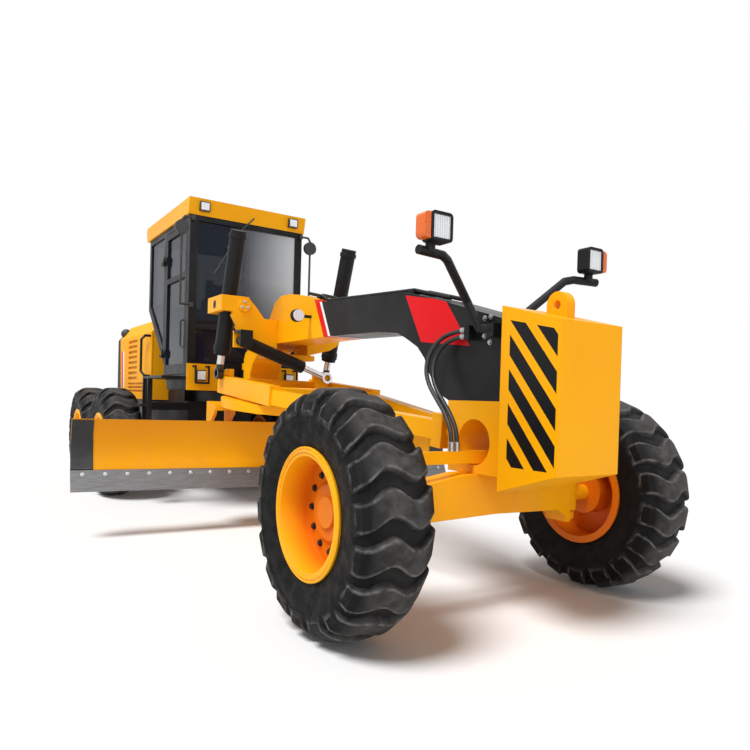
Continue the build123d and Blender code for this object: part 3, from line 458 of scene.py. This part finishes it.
def blade_colours(name):
    finish = Finish(name)
    along = math.cos(BLADE_YAW) * finish.y - math.sin(BLADE_YAW) * (finish.x - CIRCLE_CENTRE.x)
    # Painted shade: the upper half turns a deeper orange under the blade's own curl.
    curl_shade = finish.span(finish.z, BLADE_SHADE_FOOT, BLADE_TOP)
    coat = finish.mix(curl_shade * 0.6, enamel(finish, YELLOW, YELLOW_DEEP), BLADE_CURL_SHADE)
    ends = (abs(along) > BLADE_END) * (finish.z < BLADE_END_TOP)
    coat = finish.mix(ends, coat, dark_enamel(finish))
    return finish.close(Base_Color=coat, **gloss(finish, 0.34, 0.46))


cab_paint = cab_colours("cab_enamel")
hood_paint = hood_colours("hood_enamel")
saddle_paint = saddle_colours("saddle_enamel")
blade_paint = blade_colours("blade_enamel")
print("painted", cab_paint.name, hood_paint.name, saddle_paint.name, blade_paint.name)

# %% [markdown]
# Rubber is nearly black where nothing touches it, grey with dust where it meets the ground, and painted pale
# along the lugs' edges as a painted highlight. The tyre's mesh carries its own reach from the axle and a mark
# on those edges, so dust and highlight follow a turned wheel. Ribs on the wall come from the same reach, and
# pores from noise.

# %% Rubber and moulded plastic
RUBBER_BLACK = (0.0045, 0.0045, 0.0045, 1)
RUBBER_DUSTY = (0.078, 0.074, 0.072, 1)
RUBBER_EDGE_HIGHLIGHT = (0.17, 0.165, 0.16, 1)
LUG_FOOT, LUG_TOP = 0.618, 0.668
WALL_TOP, WALL_LOW = 0.56, 0.40
BEAD_RIBS = (0.355, 0.415)


def tyre(name):
    finish = Finish(name)
    reach = finish.node("ShaderNodeAttribute", {"attribute_name": "reach"}, output="Fac")
    edge = finish.node("ShaderNodeAttribute", {"attribute_name": "edge"}, output="Fac")
    scuff = finish.span(finish.noise(16.0, 7.0), 0.38, 0.68)
    worn = finish.span(reach, LUG_FOOT, LUG_TOP) * (0.35 + 0.65 * scuff)
    blotches = finish.span(finish.noise(7.0, 7.0), 0.52, 0.72)
    walls = finish.span(reach, WALL_TOP, WALL_LOW) * blotches * 0.08
    coat = finish.mix(worn + walls, RUBBER_BLACK, RUBBER_DUSTY)
    # Painted highlight: patchy pale lines along the lugs' edges.
    edge_highlight = edge * finish.span(finish.noise(22.0, 6.0), 0.35, 0.65)
    ribs = abs(reach * 170.0 % 2.0 - 1.0) * finish.between(reach, *BEAD_RIBS)
    grit = finish.noise(150.0, 4.0)
    return finish.close(
        Base_Color=finish.mix(edge_highlight * 0.8, coat, RUBBER_EDGE_HIGHLIGHT),
        Roughness=finish.span(scuff, 0, 1, 0.5, 0.8),
        Normal=finish.bump(grit + ribs * 0.8, 0.004, 0.7),
        Specular_IOR_Level=0.12,
    )


def rubber(name, dark, worn, low, high, grain):
    finish = Finish(name)
    wear = finish.span(finish.noise(9.0, 6.0), 0.4, 0.72)
    return finish.close(
        Base_Color=finish.mix(wear, dark, worn),
        Roughness=finish.span(wear, 0, 1, low, high),
        Normal=finish.bump(finish.noise(grain), 0.002, 0.4),
    )


tyre_rubber = tyre("tyre_rubber")
hose_rubber = rubber("hose_rubber", (0.010, 0.010, 0.011, 1), (0.022, 0.022, 0.022, 1), 0.42, 0.6, 240.0)
moulded = rubber("moulded_plastic", (0.014, 0.014, 0.016, 1), (0.024, 0.024, 0.026, 1), 0.4, 0.55, 160.0)
iron = rubber("cast_iron", (0.05, 0.05, 0.05, 1), (0.1, 0.095, 0.09, 1), 0.55, 0.75, 60.0)
print("rubbers", tyre_rubber.name, hose_rubber.name, moulded.name, iron.name)

# %% [markdown]
# Polished rods, the scoured cutting edge and plated bolts are bare metal. A metal shows its surroundings, so
# what makes it look real is how its roughness varies: scratches are noise that a Mapping node stretches
# along the way the piece rubs.

# %% Metals
def steel(name, tone, worn, low, high, stretch, black_where=None):
    finish = Finish(name)
    where = finish.node("ShaderNodeMapping", sockets={"Vector": finish.place, "Scale": stretch})
    scour = finish.noise(30.0, 4.0, where)
    coat, metal = finish.mix(scour, tone, worn), 1.0
    if black_where:
        painted = black_where(finish)
        coat, metal = finish.mix(painted, coat, dark_enamel(finish)), 1 - painted
    return finish.close(
        Base_Color=coat,
        Metallic=metal,
        Roughness=finish.span(scour, 0.3, 0.7, low, high),
        Normal=finish.bump(scour, 0.0006, 0.3),
    )


CHROME, CHROME_DULL = (0.75, 0.76, 0.78, 1), (0.6, 0.61, 0.63, 1)
ROD_EYE_TOP, EDGE_TOP = 1.585, 0.606
EDGE_STEEL, EDGE_DARK = (0.22, 0.22, 0.225, 1), (0.11, 0.108, 0.106, 1)
chrome = steel("polished_rod", CHROME, CHROME_DULL, 0.1, 0.2, (1, 1, 4))
eyed_rod = steel("eyed_rod", CHROME, CHROME_DULL, 0.1, 0.2, (1, 1, 4), lambda f: f.z < ROD_EYE_TOP)
scoured = steel("scoured_edge", EDGE_STEEL, EDGE_DARK, 0.4, 0.6, (3, 0.15, 3), lambda f: f.z > EDGE_TOP)
zinc = steel("plated_bolts", (0.5, 0.5, 0.5, 1), (0.36, 0.36, 0.37, 1), 0.3, 0.5, (2, 2, 2))
print("metals", chrome.name, eyed_rod.name, scoured.name, zinc.name)

# %% [markdown]
# The cab's glass is tinted dark blue, denser below the driver's eyes, and its windshield carries a painted
# pale reflection that fades in towards one upper corner. Lenses are ribbed and darker at their rims, and the
# seat's cloth is woven from two dark threads.

# %% Glass, lenses and cloth
GLASS_DARK, GLASS_REFLECTION = (0.004, 0.010, 0.026, 1), (0.62, 0.66, 0.70, 1)
WINDSHIELD_X, REFLECTION_Y, REFLECTION_Z = -0.47, (-0.14, 0.60), (1.75, 2.60)
DENSE_Z = (2.35, 1.75)
CLOTH_DARK, CLOTH_LIGHT = (0.014, 0.014, 0.016, 1), (0.04, 0.04, 0.045, 1)
LAMP_FRONT, LAMP_REAR = -0.371, -2.219
LAMP_HIGH, LAMP_LOW, LAMP_ASIDE = (3.282, 3.360), (1.447, 1.538), (0.482, 0.570)


def glass(name):
    finish = Finish(name)
    # Painted reflection: a pale patch fades in towards the windshield's upper corner and is made more opaque
    # there.
    across, height = finish.span(finish.y, *REFLECTION_Y), finish.span(finish.z, *REFLECTION_Z)
    painted_reflection = (finish.x > WINDSHIELD_X) * across * height
    dense = finish.span(finish.z, *DENSE_Z)
    return finish.close(
        Base_Color=finish.mix(painted_reflection, GLASS_DARK, GLASS_REFLECTION),
        Alpha=finish.span(0.64 + 0.28 * dense + 0.34 * painted_reflection, 0, 1, 0, 0.97),
        Roughness=finish.span(finish.noise(2.0), 0.3, 0.7, 0.02, 0.05),
        Specular_IOR_Level=0.25,
    )


def woven(name):
    finish = Finish(name)
    threads = abs((finish.y * 160.0) % 2.0 - 1.0) * abs((finish.z * 160.0) % 2.0 - 1.0)
    return finish.close(
        Base_Color=finish.mix(threads, CLOTH_DARK, CLOTH_LIGHT),
        Roughness=finish.span(threads, 0, 1, 0.75, 0.95),
        Normal=finish.bump(threads, 0.002, 0.4),
    )


def ribbed(finish, clear, deep):
    ribs = abs((finish.y * 130.0) % 2.0 - 1.0)
    return {
        "Base_Color": finish.mix(ribs, clear, deep),
        "Roughness": finish.span(ribs, 0, 1, 0.08, 0.2),
        "Normal": finish.bump(ribs, 0.003, 0.5),
        "Emission_Color": clear,
    }


def lens(name, clear, deep, glow):
    finish = Finish(name)
    return finish.close(**ribbed(finish, clear, deep), Emission_Strength=glow)


def boxed_lamp(name, clear, deep):
    finish = Finish(name)
    face = (finish.x > LAMP_FRONT) + (finish.x < LAMP_REAR)
    inner = finish.between(finish.z, *LAMP_HIGH) + finish.between(finish.z, *LAMP_LOW)
    window = face * inner * finish.between(abs(finish.y), *LAMP_ASIDE)
    sockets = ribbed(finish, clear, deep)
    sockets["Base_Color"] = finish.mix(window, dark_enamel(finish), sockets["Base_Color"])
    sockets["Emission_Color"] = finish.mix(window, (0, 0, 0, 1), clear)
    return finish.close(**sockets, Emission_Strength=0.15)


LENS_CLEAR, LENS_DEEP = (0.82, 0.84, 0.87, 1), (0.50, 0.52, 0.55, 1)
cab_tint = glass("tinted_glass")
seat_cloth = woven("seat_cloth")
clear_lens = lens("clear_lens", LENS_CLEAR, LENS_DEEP, 0.1)
work_lens = boxed_lamp("boxed_lamp", LENS_CLEAR, LENS_DEEP)
amber_lens = lens("amber_lens", (0.86, 0.17, 0.002, 1), (0.60, 0.075, 0.001, 1), 0.03)
print("finishes", len(bpy.data.materials))

# %% [markdown]
# Every CAD node now takes its finish. The list goes by finish, because most of the machine shares two.

# %% Dress the nodes
SIDES = ("left", "right")
WHEELS = [(place, side) for place in ("front", "middle", "rear") for side in SIDES]
dress = {
    yellow: ["front_axle", "lean_bar", "knuckle_left", "knuckle_right", "drawbar", "circle"],
    black: ["frame_neck", "rear_frame", "fuel_tank", "steps", "handrails", "headlamp_stalks", "frame_pipes"],
    grey: ["rear_axle", "tandem_cases", "tie_rod"],
    moulded: ["mirrors", "filler_cap", "hood_grille", "control_console"],
    iron: ["engine_block", "exhaust"],
    chrome: ["shift_rod"],
    eyed_rod: ["lift_rod_left", "lift_rod_right"],
    scoured: ["cutting_edge"],
    cab_tint: ["cab_glass", "door_left_glass", "door_right_glass"],
    clear_lens: ["headlamps"],
    work_lens: ["work_lamps"],
    amber_lens: ["turn_lamps"],
    gooseneck_paint: ["gooseneck"],
    weight_paint: ["counterweight"],
    cab_paint: ["cab_frame"],
    hood_paint: ["hood"],
    saddle_paint: ["lift_saddle"],
    blade_paint: ["moldboard"],
    seat_cloth: ["seat"],
    hose_rubber: ["hose_outer", "hose_inner"],
    tyre_rubber: [f"tyre_{place}_{side}" for place, side in WHEELS],
    rim_paint: [f"rim_{place}_{side}" for place, side in WHEELS],
}
dress[yellow] += ["blade_carrier", "cab_roof"]
dress[black] += ["lift_barrel_left", "lift_barrel_right", "shift_barrel", "door_left", "door_right"]
for material, names in dress.items():
    for name in names:
        nodes[name].data.materials.clear()
        nodes[name].data.materials.append(material)
for piece in hoses.values():
    piece.data.materials.append(hose_rubber)
bare = set(nodes) - {name for names in dress.values() for name in names}
print("dressed", sum(map(len, dress.values())), "bare", sorted(bare))

# %% [markdown]
# Bolts, lugs and other repeats come from one Geometry Nodes tree. It sets copies of a piece along a line,
# and turns each a step further round the Y axis: with no line it is a ring, with no turn it is a row.
# Copying meshes in a loop would do it too, but the tree keeps count, step and finish as inputs.

# %% Repeats
TREE_INPUTS = (
    ("Base", "Geometry"), ("Piece", "Object"), ("Count", "Int"), ("Start", "Vector"),
    ("Step", "Vector"), ("Turn", "Float"), ("Finish", "Material"),
)


def repeat_tree():
    tree = bpy.data.node_groups.new("repeats", "GeometryNodeTree")
    for name, kind in TREE_INPUTS:
        tree.interface.new_socket(name, in_out="INPUT", socket_type="NodeSocket" + kind)
    tree.interface.new_socket("Repeats", in_out="OUTPUT", socket_type="NodeSocketGeometry")
    make, link = tree.nodes.new, tree.links.new
    given, result = make("NodeGroupInput"), make("NodeGroupOutput")
    line = make("GeometryNodeMeshLine")
    link(given.outputs["Count"], line.inputs["Count"])
    link(given.outputs["Start"], line.inputs["Start Location"])
    link(given.outputs["Step"], line.inputs["Offset"])
    turn = make("ShaderNodeMath")
    turn.operation = "MULTIPLY"
    link(make("GeometryNodeInputIndex").outputs[0], turn.inputs[0])
    link(given.outputs["Turn"], turn.inputs[1])
    about = make("ShaderNodeCombineXYZ")
    link(turn.outputs[0], about.inputs["Y"])
    shape = make("GeometryNodeObjectInfo")
    link(given.outputs["Piece"], shape.inputs["Object"])
    copies = make("GeometryNodeInstanceOnPoints")
    link(line.outputs[0], copies.inputs["Points"])
    link(shape.outputs["Geometry"], copies.inputs["Instance"])
    link(about.outputs[0], copies.inputs["Rotation"])
    both = make("GeometryNodeJoinGeometry")
    link(given.outputs["Base"], both.inputs[0])
    link(copies.outputs[0], both.inputs[0])
    real, paint = make("GeometryNodeRealizeInstances"), make("GeometryNodeSetMaterial")
    link(both.outputs[0], real.inputs[0])
    link(real.outputs[0], paint.inputs["Geometry"])
    link(given.outputs["Finish"], paint.inputs["Material"])
    link(paint.outputs[0], result.inputs[0])
    return tree


repeats = repeat_tree()
print("tree", repeats.name, [name for name, kind in TREE_INPUTS])

# %% [markdown]
# A few helpers turn outlines into pieces. Loops of points are skinned into one closed shell, a section is
# turned round the Y axis, and a finished mesh is set on its body. Every shell has its doubles merged and its
# normals turned outwards.

# %% Mesh helpers
SHARP_EDGE = math.radians(32)


def mesh_object(name, vertices, faces, smooth=True):
    mesh = bpy.data.meshes.new(name)
    mesh.from_pydata(vertices, [], faces)
    shape = bmesh.new()
    shape.from_mesh(mesh)
    bmesh.ops.remove_doubles(shape, verts=shape.verts, dist=1e-5)
    bmesh.ops.recalc_face_normals(shape, faces=shape.faces)
    shape.to_mesh(mesh)
    shape.free()
    for polygon in mesh.polygons:
        polygon.use_smooth = smooth
    mesh.set_sharp_from_angle(angle=SHARP_EDGE)
    piece = bpy.data.objects.new(name, mesh)
    scene.collection.objects.link(piece)
    return piece


def skinned(name, loops, closed=False, smooth=True):
    """One shell over loops of equally many points, capped at its ends unless it closes on itself."""
    size = len(loops[0])
    vertices = [point for loop in loops for point in loop]
    faces = []
    for k in range(len(loops) if closed else len(loops) - 1):
        here, there = k * size, (k + 1) % len(loops) * size
        for i in range(size):
            j = (i + 1) % size
            faces.append((here + i, here + j, there + j, there + i))
    if not closed:
        faces += [tuple(range(size)), tuple(range(len(vertices) - size, len(vertices)))]
    return mesh_object(name, vertices, faces, smooth)


def turned(name, section, count):
    """A closed section of (a, r) points turned round the Y axis."""
    angles = [2 * math.pi * k / count for k in range(count)]
    loops = [[(r * math.sin(t), a, r * math.cos(t)) for a, r in section] for t in angles]
    return skinned(name, loops, closed=True)


def grown(base, **values):
    """The plain mesh that the tree grows from a base object."""
    modifier = base.modifiers.new("grow", "NODES")
    modifier.node_group = repeats
    for item in repeats.interface.items_tree:
        if item.in_out == "INPUT" and item.name in values:
            modifier[item.identifier] = values[item.name]
    bpy.context.view_layer.update()
    ready = base.evaluated_get(bpy.context.evaluated_depsgraph_get())
    mesh = bpy.data.meshes.new_from_object(ready)
    base.modifiers.remove(modifier)
    return mesh


def place_piece(name, mesh, body, where=Matrix(), flip=False):
    mesh = mesh.copy()
    if flip:
        mesh.transform(Matrix.Diagonal((1, -1, 1, 1)))
        mesh.flip_normals()
    mesh.transform(where)
    piece = bpy.data.objects.new(name, mesh)
    scene.collection.objects.link(piece)
    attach(piece, body)
    return piece


def drop(*spares):
    for spare in spares:
        bpy.data.objects.remove(spare)


def painted(piece, material):
    piece.data.materials.append(material)
    return piece


print("mesh helpers ready")

# %% [markdown]
# The tyre is a big soft block-tread one: a carcass with bulging walls and thick wavy lugs that wrap over
# its shoulders. The carcass is a closed section turned round the axle. One lug is drawn as a strip of
# cross sections along a wave, and the tree sets the rest. Each point keeps its reach from the axle, and
# the points along a lug's edges are marked for the painted highlight.

# %% Tyres
TYRE_R, LUGS, LUG_WIDTH, LUG_SWAY, LUG_END = 0.670, 18, 0.128, 0.032, 0.205
LUG_TIP, LUG_ROOT, TIP_ROOT = 0.2135, 0.612, 0.512
SHOULDER_DROP, ROOT_DROP = 0.078, 0.082
TRACK_HALF = 1.065
WHEEL_X = {"front": 3.575, "middle": -2.035, "rear": -3.575}
CARCASS = [
    (0.150, 0.3262), (0.163, 0.331), (0.178, 0.357), (0.193, 0.405), (0.205, 0.455), (0.2115, 0.500),
    (0.2110, 0.530), (0.203, 0.556), (0.186, 0.584), (0.156, 0.609), (0.118, 0.624), (0.060, 0.630),
    (0.0, 0.631),
]
# Painted highlight strength at each point of a lug's section, strongest at its top edges.
LUG_EDGE_HIGHLIGHT = (0, 0.25, 1, 0.7, 0, 0, 0, 0.7, 1, 0.25, 0)


def lug():
    stations = 25
    loops = []
    for k in range(stations):
        a = LUG_END * (2 * k / (stations - 1) - 1)
        wave = LUG_SWAY * math.cos(math.pi * (a + LUG_END / 3) / (2 * LUG_END / 3))
        edge = abs(a) / LUG_END
        top = TYRE_R - SHOULDER_DROP * edge**3
        root = LUG_ROOT - ROOT_DROP * edge**3
        half = LUG_WIDTH / 2 + 0.003 * edge
        section = [(-half - 0.013, root), (-half - 0.002, top - 0.010), (-half + 0.003, top - 0.002)]
        section += [(-half + 0.010, top), (-half + 0.019, top), (0.0, top)]
        section += [(-t, r) for t, r in reversed(section[:-1])]
        loops.append([(wave + t, a, r) for t, r in section])
    for end, near in ((-LUG_TIP, loops[0]), (LUG_TIP, loops[-1])):
        mid, foot = near[5][0], LUG_ROOT - ROOT_DROP
        tip = [(mid + 0.94 * (x - mid), end, TIP_ROOT + 0.6 * (z - foot)) for x, y, z in near]
        loops = [tip] + loops if end < 0 else loops + [tip]
    return skinned("lug", loops)


def keep_reach_and_highlight(piece, wear):
    reach = piece.data.attributes.new("reach", "FLOAT", "POINT")
    edge = piece.data.attributes.new("edge", "FLOAT", "POINT")
    for k, vertex in enumerate(piece.data.vertices):
        reach.data[k].value = math.hypot(vertex.co.x, vertex.co.z)
        # The edge mark says where the painted highlight lies along a lug's edges.
        edge.data[k].value = wear[k % len(wear)]


def wheel_place(place, side):
    hand = 1 if side == "left" else -1
    return Matrix.Translation((WHEEL_X[place], hand * TRACK_HALF, TYRE_R)), hand < 0


carcass = turned("carcass", CARCASS + [(-a, r) for a, r in reversed(CARCASS[:-1])], 90)
one_lug = lug()
keep_reach_and_highlight(carcass, (0,))
keep_reach_and_highlight(one_lug, LUG_EDGE_HIGHLIGHT)
tyre_mesh = grown(carcass, Piece=one_lug, Count=LUGS, Turn=2 * math.pi / LUGS, Finish=tyre_rubber)
for place, side in WHEELS:
    where, flip = wheel_place(place, side)
    body = f"wheel_{place}_{side}"
    piece = place_piece(f"tread_{place}_{side}", tyre_mesh, body, where, flip)
    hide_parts(f"tyre_{place}_{side}")
drop(carcass, one_lug)
print("tyre triangles", sum(len(p.vertices) - 2 for p in tyre_mesh.polygons))

# %% [markdown]
# A bolt is a six-sided head on a washer. It is drawn once, standing on its foot and pointing along Y, and
# wheels, blade, nose and saddle all take copies of it. On each wheel a ring of them holds the disc, and a
# two-beaded lock ring closes the rim's outer flange.

# %% Wheel bolts and lock rings
WHEEL_BOLTS, BOLT_RING = 12, 0.215
DISC_FACE = 0.035
BOLT_SHAPE = ((1.3, 0.0), (1.3, 0.2), (1.05, 0.22), (1.0, 0.24), (1.0, 0.85), (0.82, 0.95))
LOCK_RING = [
    (0.184, 0.322), (0.195, 0.3235), (0.199, 0.330), (0.196, 0.337), (0.1915, 0.341),
    (0.1955, 0.345), (0.1965, 0.351), (0.193, 0.356), (0.184, 0.356),
]


def bolt(size, foot=(0, 0, 0)):
    """A bolt along Y from its foot: a round washer, then a hexagon with its flats between corners."""
    x, y, z = foot
    loops = []
    for reach, rise in BOLT_SHAPE:
        corners = [math.pi * k / 6 for k in range(12)]
        ridge = [1.0 if k % 2 == 0 or reach > 1.1 else math.cos(math.pi / 6) for k in range(12)]
        arms = [size * reach * g for g in ridge]
        loops.append([
            (x + arm * math.sin(t), y + size * rise, z + arm * math.cos(t)) for t, arm in zip(corners, arms)
        ])
    return skinned("bolt", loops, smooth=False)


nothing = mesh_object("nothing", [], [])
wheel_bolt = bolt(0.016, (0, DISC_FACE, BOLT_RING))
bolt_ring = grown(nothing, Piece=wheel_bolt, Count=WHEEL_BOLTS, Turn=2 * math.pi / WHEEL_BOLTS, Finish=black)
lock_ring = painted(turned("lock_ring", LOCK_RING, 72), rim_paint)
for place, side in WHEELS:
    where, flip = wheel_place(place, side)
    body = f"wheel_{place}_{side}"
    place_piece(f"wheel_bolts_{place}_{side}", bolt_ring, body, where, flip)
    place_piece(f"lock_ring_{place}_{side}", lock_ring.data, body, where, flip)
drop(wheel_bolt, lock_ring)
print("wheel bolts", WHEEL_BOLTS * len(WHEELS))

# %% [markdown]
# The cutting edge is bolted through the blade in one long row. The blade stands turned about the circle's
# tilted axis, so the row is drawn straight and square first and then takes the same turn.

# %% Blade bolts
CIRCLE_TILT = math.radians(5)
EDGE_BOLTS, EDGE_BOLT_REACH = 21, 1.85
EDGE_BOLT_AT, EDGE_LEAN = (0.6429, 0.545), math.radians(24.36)


def blade_turn():
    tilt = Matrix.Rotation(CIRCLE_TILT, 4, "Y")
    swing = tilt @ Matrix.Rotation(BLADE_YAW, 4, "Z") @ tilt.inverted()
    return Matrix.Translation(CIRCLE_CENTRE) @ swing @ Matrix.Translation(-CIRCLE_CENTRE)


edge_bolt = bolt(0.014)
edge_bolt.data.transform(Matrix.Rotation(-EDGE_LEAN, 4, "Y") @ Matrix.Rotation(-math.pi / 2, 4, "Z"))
start = (EDGE_BOLT_AT[0], -EDGE_BOLT_REACH, EDGE_BOLT_AT[1])
step = (0, 2 * EDGE_BOLT_REACH / (EDGE_BOLTS - 1), 0)
edge_row = grown(nothing, Piece=edge_bolt, Count=EDGE_BOLTS, Start=start, Step=step, Finish=zinc)
place_piece("edge_bolts", edge_row, "blade", blade_turn())
drop(edge_bolt)
print("edge bolts", EDGE_BOLTS)

# %% [markdown]
# Fewer bolts hold the lamp stalks to the nose's side plates and the caps to the saddle's arms. A short row
# is the same tree with a count of two or three.

# %% Nose and saddle bolts
NOSE_SIDE = 0.165
NOSE_ROWS = ((3.720, 1.680, 0.107), (3.768, 1.640, 0.150))
SADDLE_CAP = (0.799, 0.510, 2.130)
CAP_BOLTS, CAP_RING = 3, 0.034

for side, hand in zip(SIDES, (1, -1)):
    for row, (x, z, rise) in enumerate(NOSE_ROWS):
        nose_bolt = bolt(0.013)
        upright_row = grown(
            nothing, Piece=nose_bolt, Count=2, Start=(x, NOSE_SIDE, z), Step=(0, 0, rise), Finish=zinc
        )
        place_piece(f"nose_bolts_{side}_{row}", upright_row, "front_frame", flip=hand < 0)
        drop(nose_bolt)
    cap_bolt = bolt(0.012, (0, 0, CAP_RING))
    cap_ring = grown(nothing, Piece=cap_bolt, Count=CAP_BOLTS, Turn=2 * math.pi / CAP_BOLTS, Finish=zinc)
    cap_at = (SADDLE_CAP[0], hand * SADDLE_CAP[1], SADDLE_CAP[2])
    facing = Matrix.Translation(cap_at) @ Matrix.Rotation(-math.pi / 2, 4, "Z")
    place_piece(f"cap_bolts_{side}", cap_ring, "front_frame", facing)
    drop(cap_bolt)
drop(nothing)
print("nose and saddle bolts", 2 * (2 * len(NOSE_ROWS) + CAP_BOLTS))

# %% [markdown]
# Each hose ends in a crimped sleeve with a hexagon behind it. A sleeve is a turned piece, so it is drawn as
# loops round its own axis and then laid along the way the hose leaves its port.

# %% Hose sleeves
SLEEVE = [
    (0.000, 0.021), (0.014, 0.021), (0.0145, 0.0165), (0.022, 0.0165), (0.0225, 0.019), (0.052, 0.019),
    (0.055, 0.0155),
]


def sleeve(name, at, along):
    angles = [math.pi * k / 8 for k in range(16)]
    loops = [[(r * math.sin(t), r * math.cos(t), a) for t in angles] for a, r in SLEEVE]
    piece = painted(skinned(name + "_drawn", loops), zinc)
    where = Matrix.Translation(at) @ Vector(along).to_track_quat("Z", "X").to_matrix().to_4x4()
    place_piece(name, piece.data, "front_frame", where)
    drop(piece)


for name, route in (("outer", HOSE_OUTER), ("inner", HOSE_INNER)):
    sleeve(f"hose_sleeve_top_{name}", route[0], (-1, 0, 0))
    sleeve(f"hose_sleeve_foot_{name}", route[-1], (0, 0, 1))
print("hose sleeves", 4)

# %% [markdown]
# The operator's seat has a deep cushion, a tall back and a headrest on a bellows foot. Cloth simulation could
# swell the pads, but these small firm ones are shaped by a rule: a fine cube is rounded, crowned, pulled
# in along its sides and pressed down along its sewn channels.

# %% Seat
SEAT_BACK = -1.350
PAD_CUTS = 22


def pad(name, low, high, thin, channels=()):
    """A padded box: thin is its axis of thickness, channels are seam places along its long axis."""
    shape = bmesh.new()
    bmesh.ops.create_cube(shape, size=2)
    bmesh.ops.subdivide_edges(shape, edges=shape.edges, cuts=PAD_CUTS, use_grid_fill=True)
    flat = [axis for axis in range(3) if axis != thin]
    centre, half = (Vector(low) + Vector(high)) / 2, (Vector(high) - Vector(low)) / 2
    for vertex in shape.verts:
        unit = vertex.co.copy()
        round_off = sum(abs(c) ** 6 for c in unit) ** (1 / 6)
        unit /= round_off
        u, v = unit[flat[0]], unit[flat[1]]
        unit[thin] *= 0.80 + 0.20 * (1 - u**4) * (1 - v**4)
        unit[flat[0]] *= 1 - 0.05 * (1 - v * v)
        unit[flat[1]] *= 1 - 0.03 * (1 - u * u)
        for seam in channels:
            unit[thin] *= 1 - 0.16 * math.exp(-(((v - seam) / 0.05) ** 2))
        vertex.co = centre + Vector(c * h for c, h in zip(unit, half))
    mesh = bpy.data.meshes.new(name)
    shape.to_mesh(mesh)
    shape.free()
    for polygon in mesh.polygons:
        polygon.use_smooth = True
    mesh.materials.append(seat_cloth)
    piece = place_piece(name, mesh, "chassis")
    return piece


CUSHION = ((SEAT_BACK + 0.07, -0.25, 1.795), (SEAT_BACK + 0.50, 0.25, 1.905))
BACKREST = ((SEAT_BACK, -0.25, 1.88), (SEAT_BACK + 0.115, 0.25, 2.485))
HEADREST = ((SEAT_BACK + 0.02, -0.14, 2.50), (SEAT_BACK + 0.09, 0.14, 2.645))
FOOT_LOW, FOLD_RISE, FOLD_DEPTH, FOLDS = 1.39, 0.03, 0.016, 15
FOOT_X, FOOT_HALF = SEAT_BACK + 0.32, (0.10, 0.12)
POST_X, POST_RADIUS, POST_APART = SEAT_BACK + 0.055, 0.008, 0.12
POST_LOW, POST_HIGH = 2.44, 2.54

cushion = pad("seat_cushion", *CUSHION, 2, (-0.62, 0.62))
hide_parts("seat")
pad("seat_back", *BACKREST, 0, (-0.45, -0.05, 0.35))
pad("seat_headrest", *HEADREST, 0)
folds = [(FOOT_LOW + FOLD_RISE * k, FOLD_DEPTH * (k % 2)) for k in range(FOLDS)]
corners = [(-1, -0.8), (-1, 0.8), (-0.8, 1), (0.8, 1), (1, 0.8), (1, -0.8), (0.8, -1), (-0.8, -1)]
loops = [
    [(FOOT_X + x * (FOOT_HALF[0] - inset), y * (FOOT_HALF[1] - inset), z) for x, y in corners]
    for z, inset in folds
]
foot = painted(skinned("seat_foot_drawn", loops, smooth=False), moulded)
place_piece("seat_foot", foot.data, "chassis")
quarters = ((1, 0), (0, 1), (-1, 0), (0, -1))
posts = [
    [(POST_X + POST_RADIUS * c, POST_RADIUS * s - POST_APART / 2, z) for c, s in quarters]
    for z in (POST_LOW, POST_HIGH)
]
post = painted(skinned("seat_post_drawn", posts, smooth=False), chrome)
for side, shift in zip(SIDES, (POST_APART, 0)):
    place_piece(f"seat_post_{side}", post.data, "chassis", Matrix.Translation((0, shift, 0)))
drop(foot, post)
print("seat pads 3, folds", len(folds))

# %% [markdown]
# Small trim finishes the cab: a wiper on the windshield, a grab handle on each door and convex faces in the
# round mirrors. A bar is a round pipe skinned along its points, thin enough to need no more.

# %% Cab trim
def bar(name, points, radius, body, material, sides=10):
    loops = []
    for k, point in enumerate(points):
        before, after = points[max(k - 1, 0)], points[min(k + 1, len(points) - 1)]
        along = (Vector(after) - Vector(before)).normalized()
        across = along.orthogonal().normalized()
        beside = along.cross(across)
        angles = [2 * math.pi * j / sides for j in range(sides)]
        loops.append([Vector(point) + radius * (math.cos(t) * across + math.sin(t) * beside) for t in angles])
    drawn = painted(skinned(name + "_drawn", loops), material)
    place_piece(name, drawn.data, body)
    drop(drawn)


WIPER_X, HANDLE_X = -0.434, -0.60
HANDLE = ((0.662, 1.80), (0.695, 1.81), (0.695, 2.09), (0.662, 2.10))
MIRROR_AT = (-0.425, 0.765, 3.065)
MIRROR_DOME = [(0.0, 0.062), (0.004, 0.062), (0.011, 0.030), (0.012, 0.001), (0.0, 0.001)]
WIPER_ARM = [(-0.402, 0.05, 3.30), (-0.412, 0.02, 3.262), (-0.430, -0.06, 3.18), (WIPER_X, -0.25, 2.92)]
bar("wiper_arm", WIPER_ARM, 0.008, "chassis", moulded)
WIPER_BLADE = [(WIPER_X, -0.10, 3.12), (WIPER_X, -0.39, 2.62)]
bar("wiper_blade", WIPER_BLADE, 0.007, "chassis", moulded)
for side, hand in zip(SIDES, (1, -1)):
    handle = [(HANDLE_X, hand * y, z) for y, z in HANDLE]
    bar(f"door_handle_{side}", handle, 0.010, f"door_{side}", moulded)
    face = painted(turned("mirror_drawn", MIRROR_DOME, 32), chrome)
    mirror_at = (MIRROR_AT[0], hand * MIRROR_AT[1], MIRROR_AT[2])
    where = Matrix.Translation(mirror_at) @ Matrix.Rotation(math.pi / 2, 4, "Z")
    place_piece(f"mirror_face_{side}", face.data, "chassis", where)
    drop(face)
print("cab trim done")
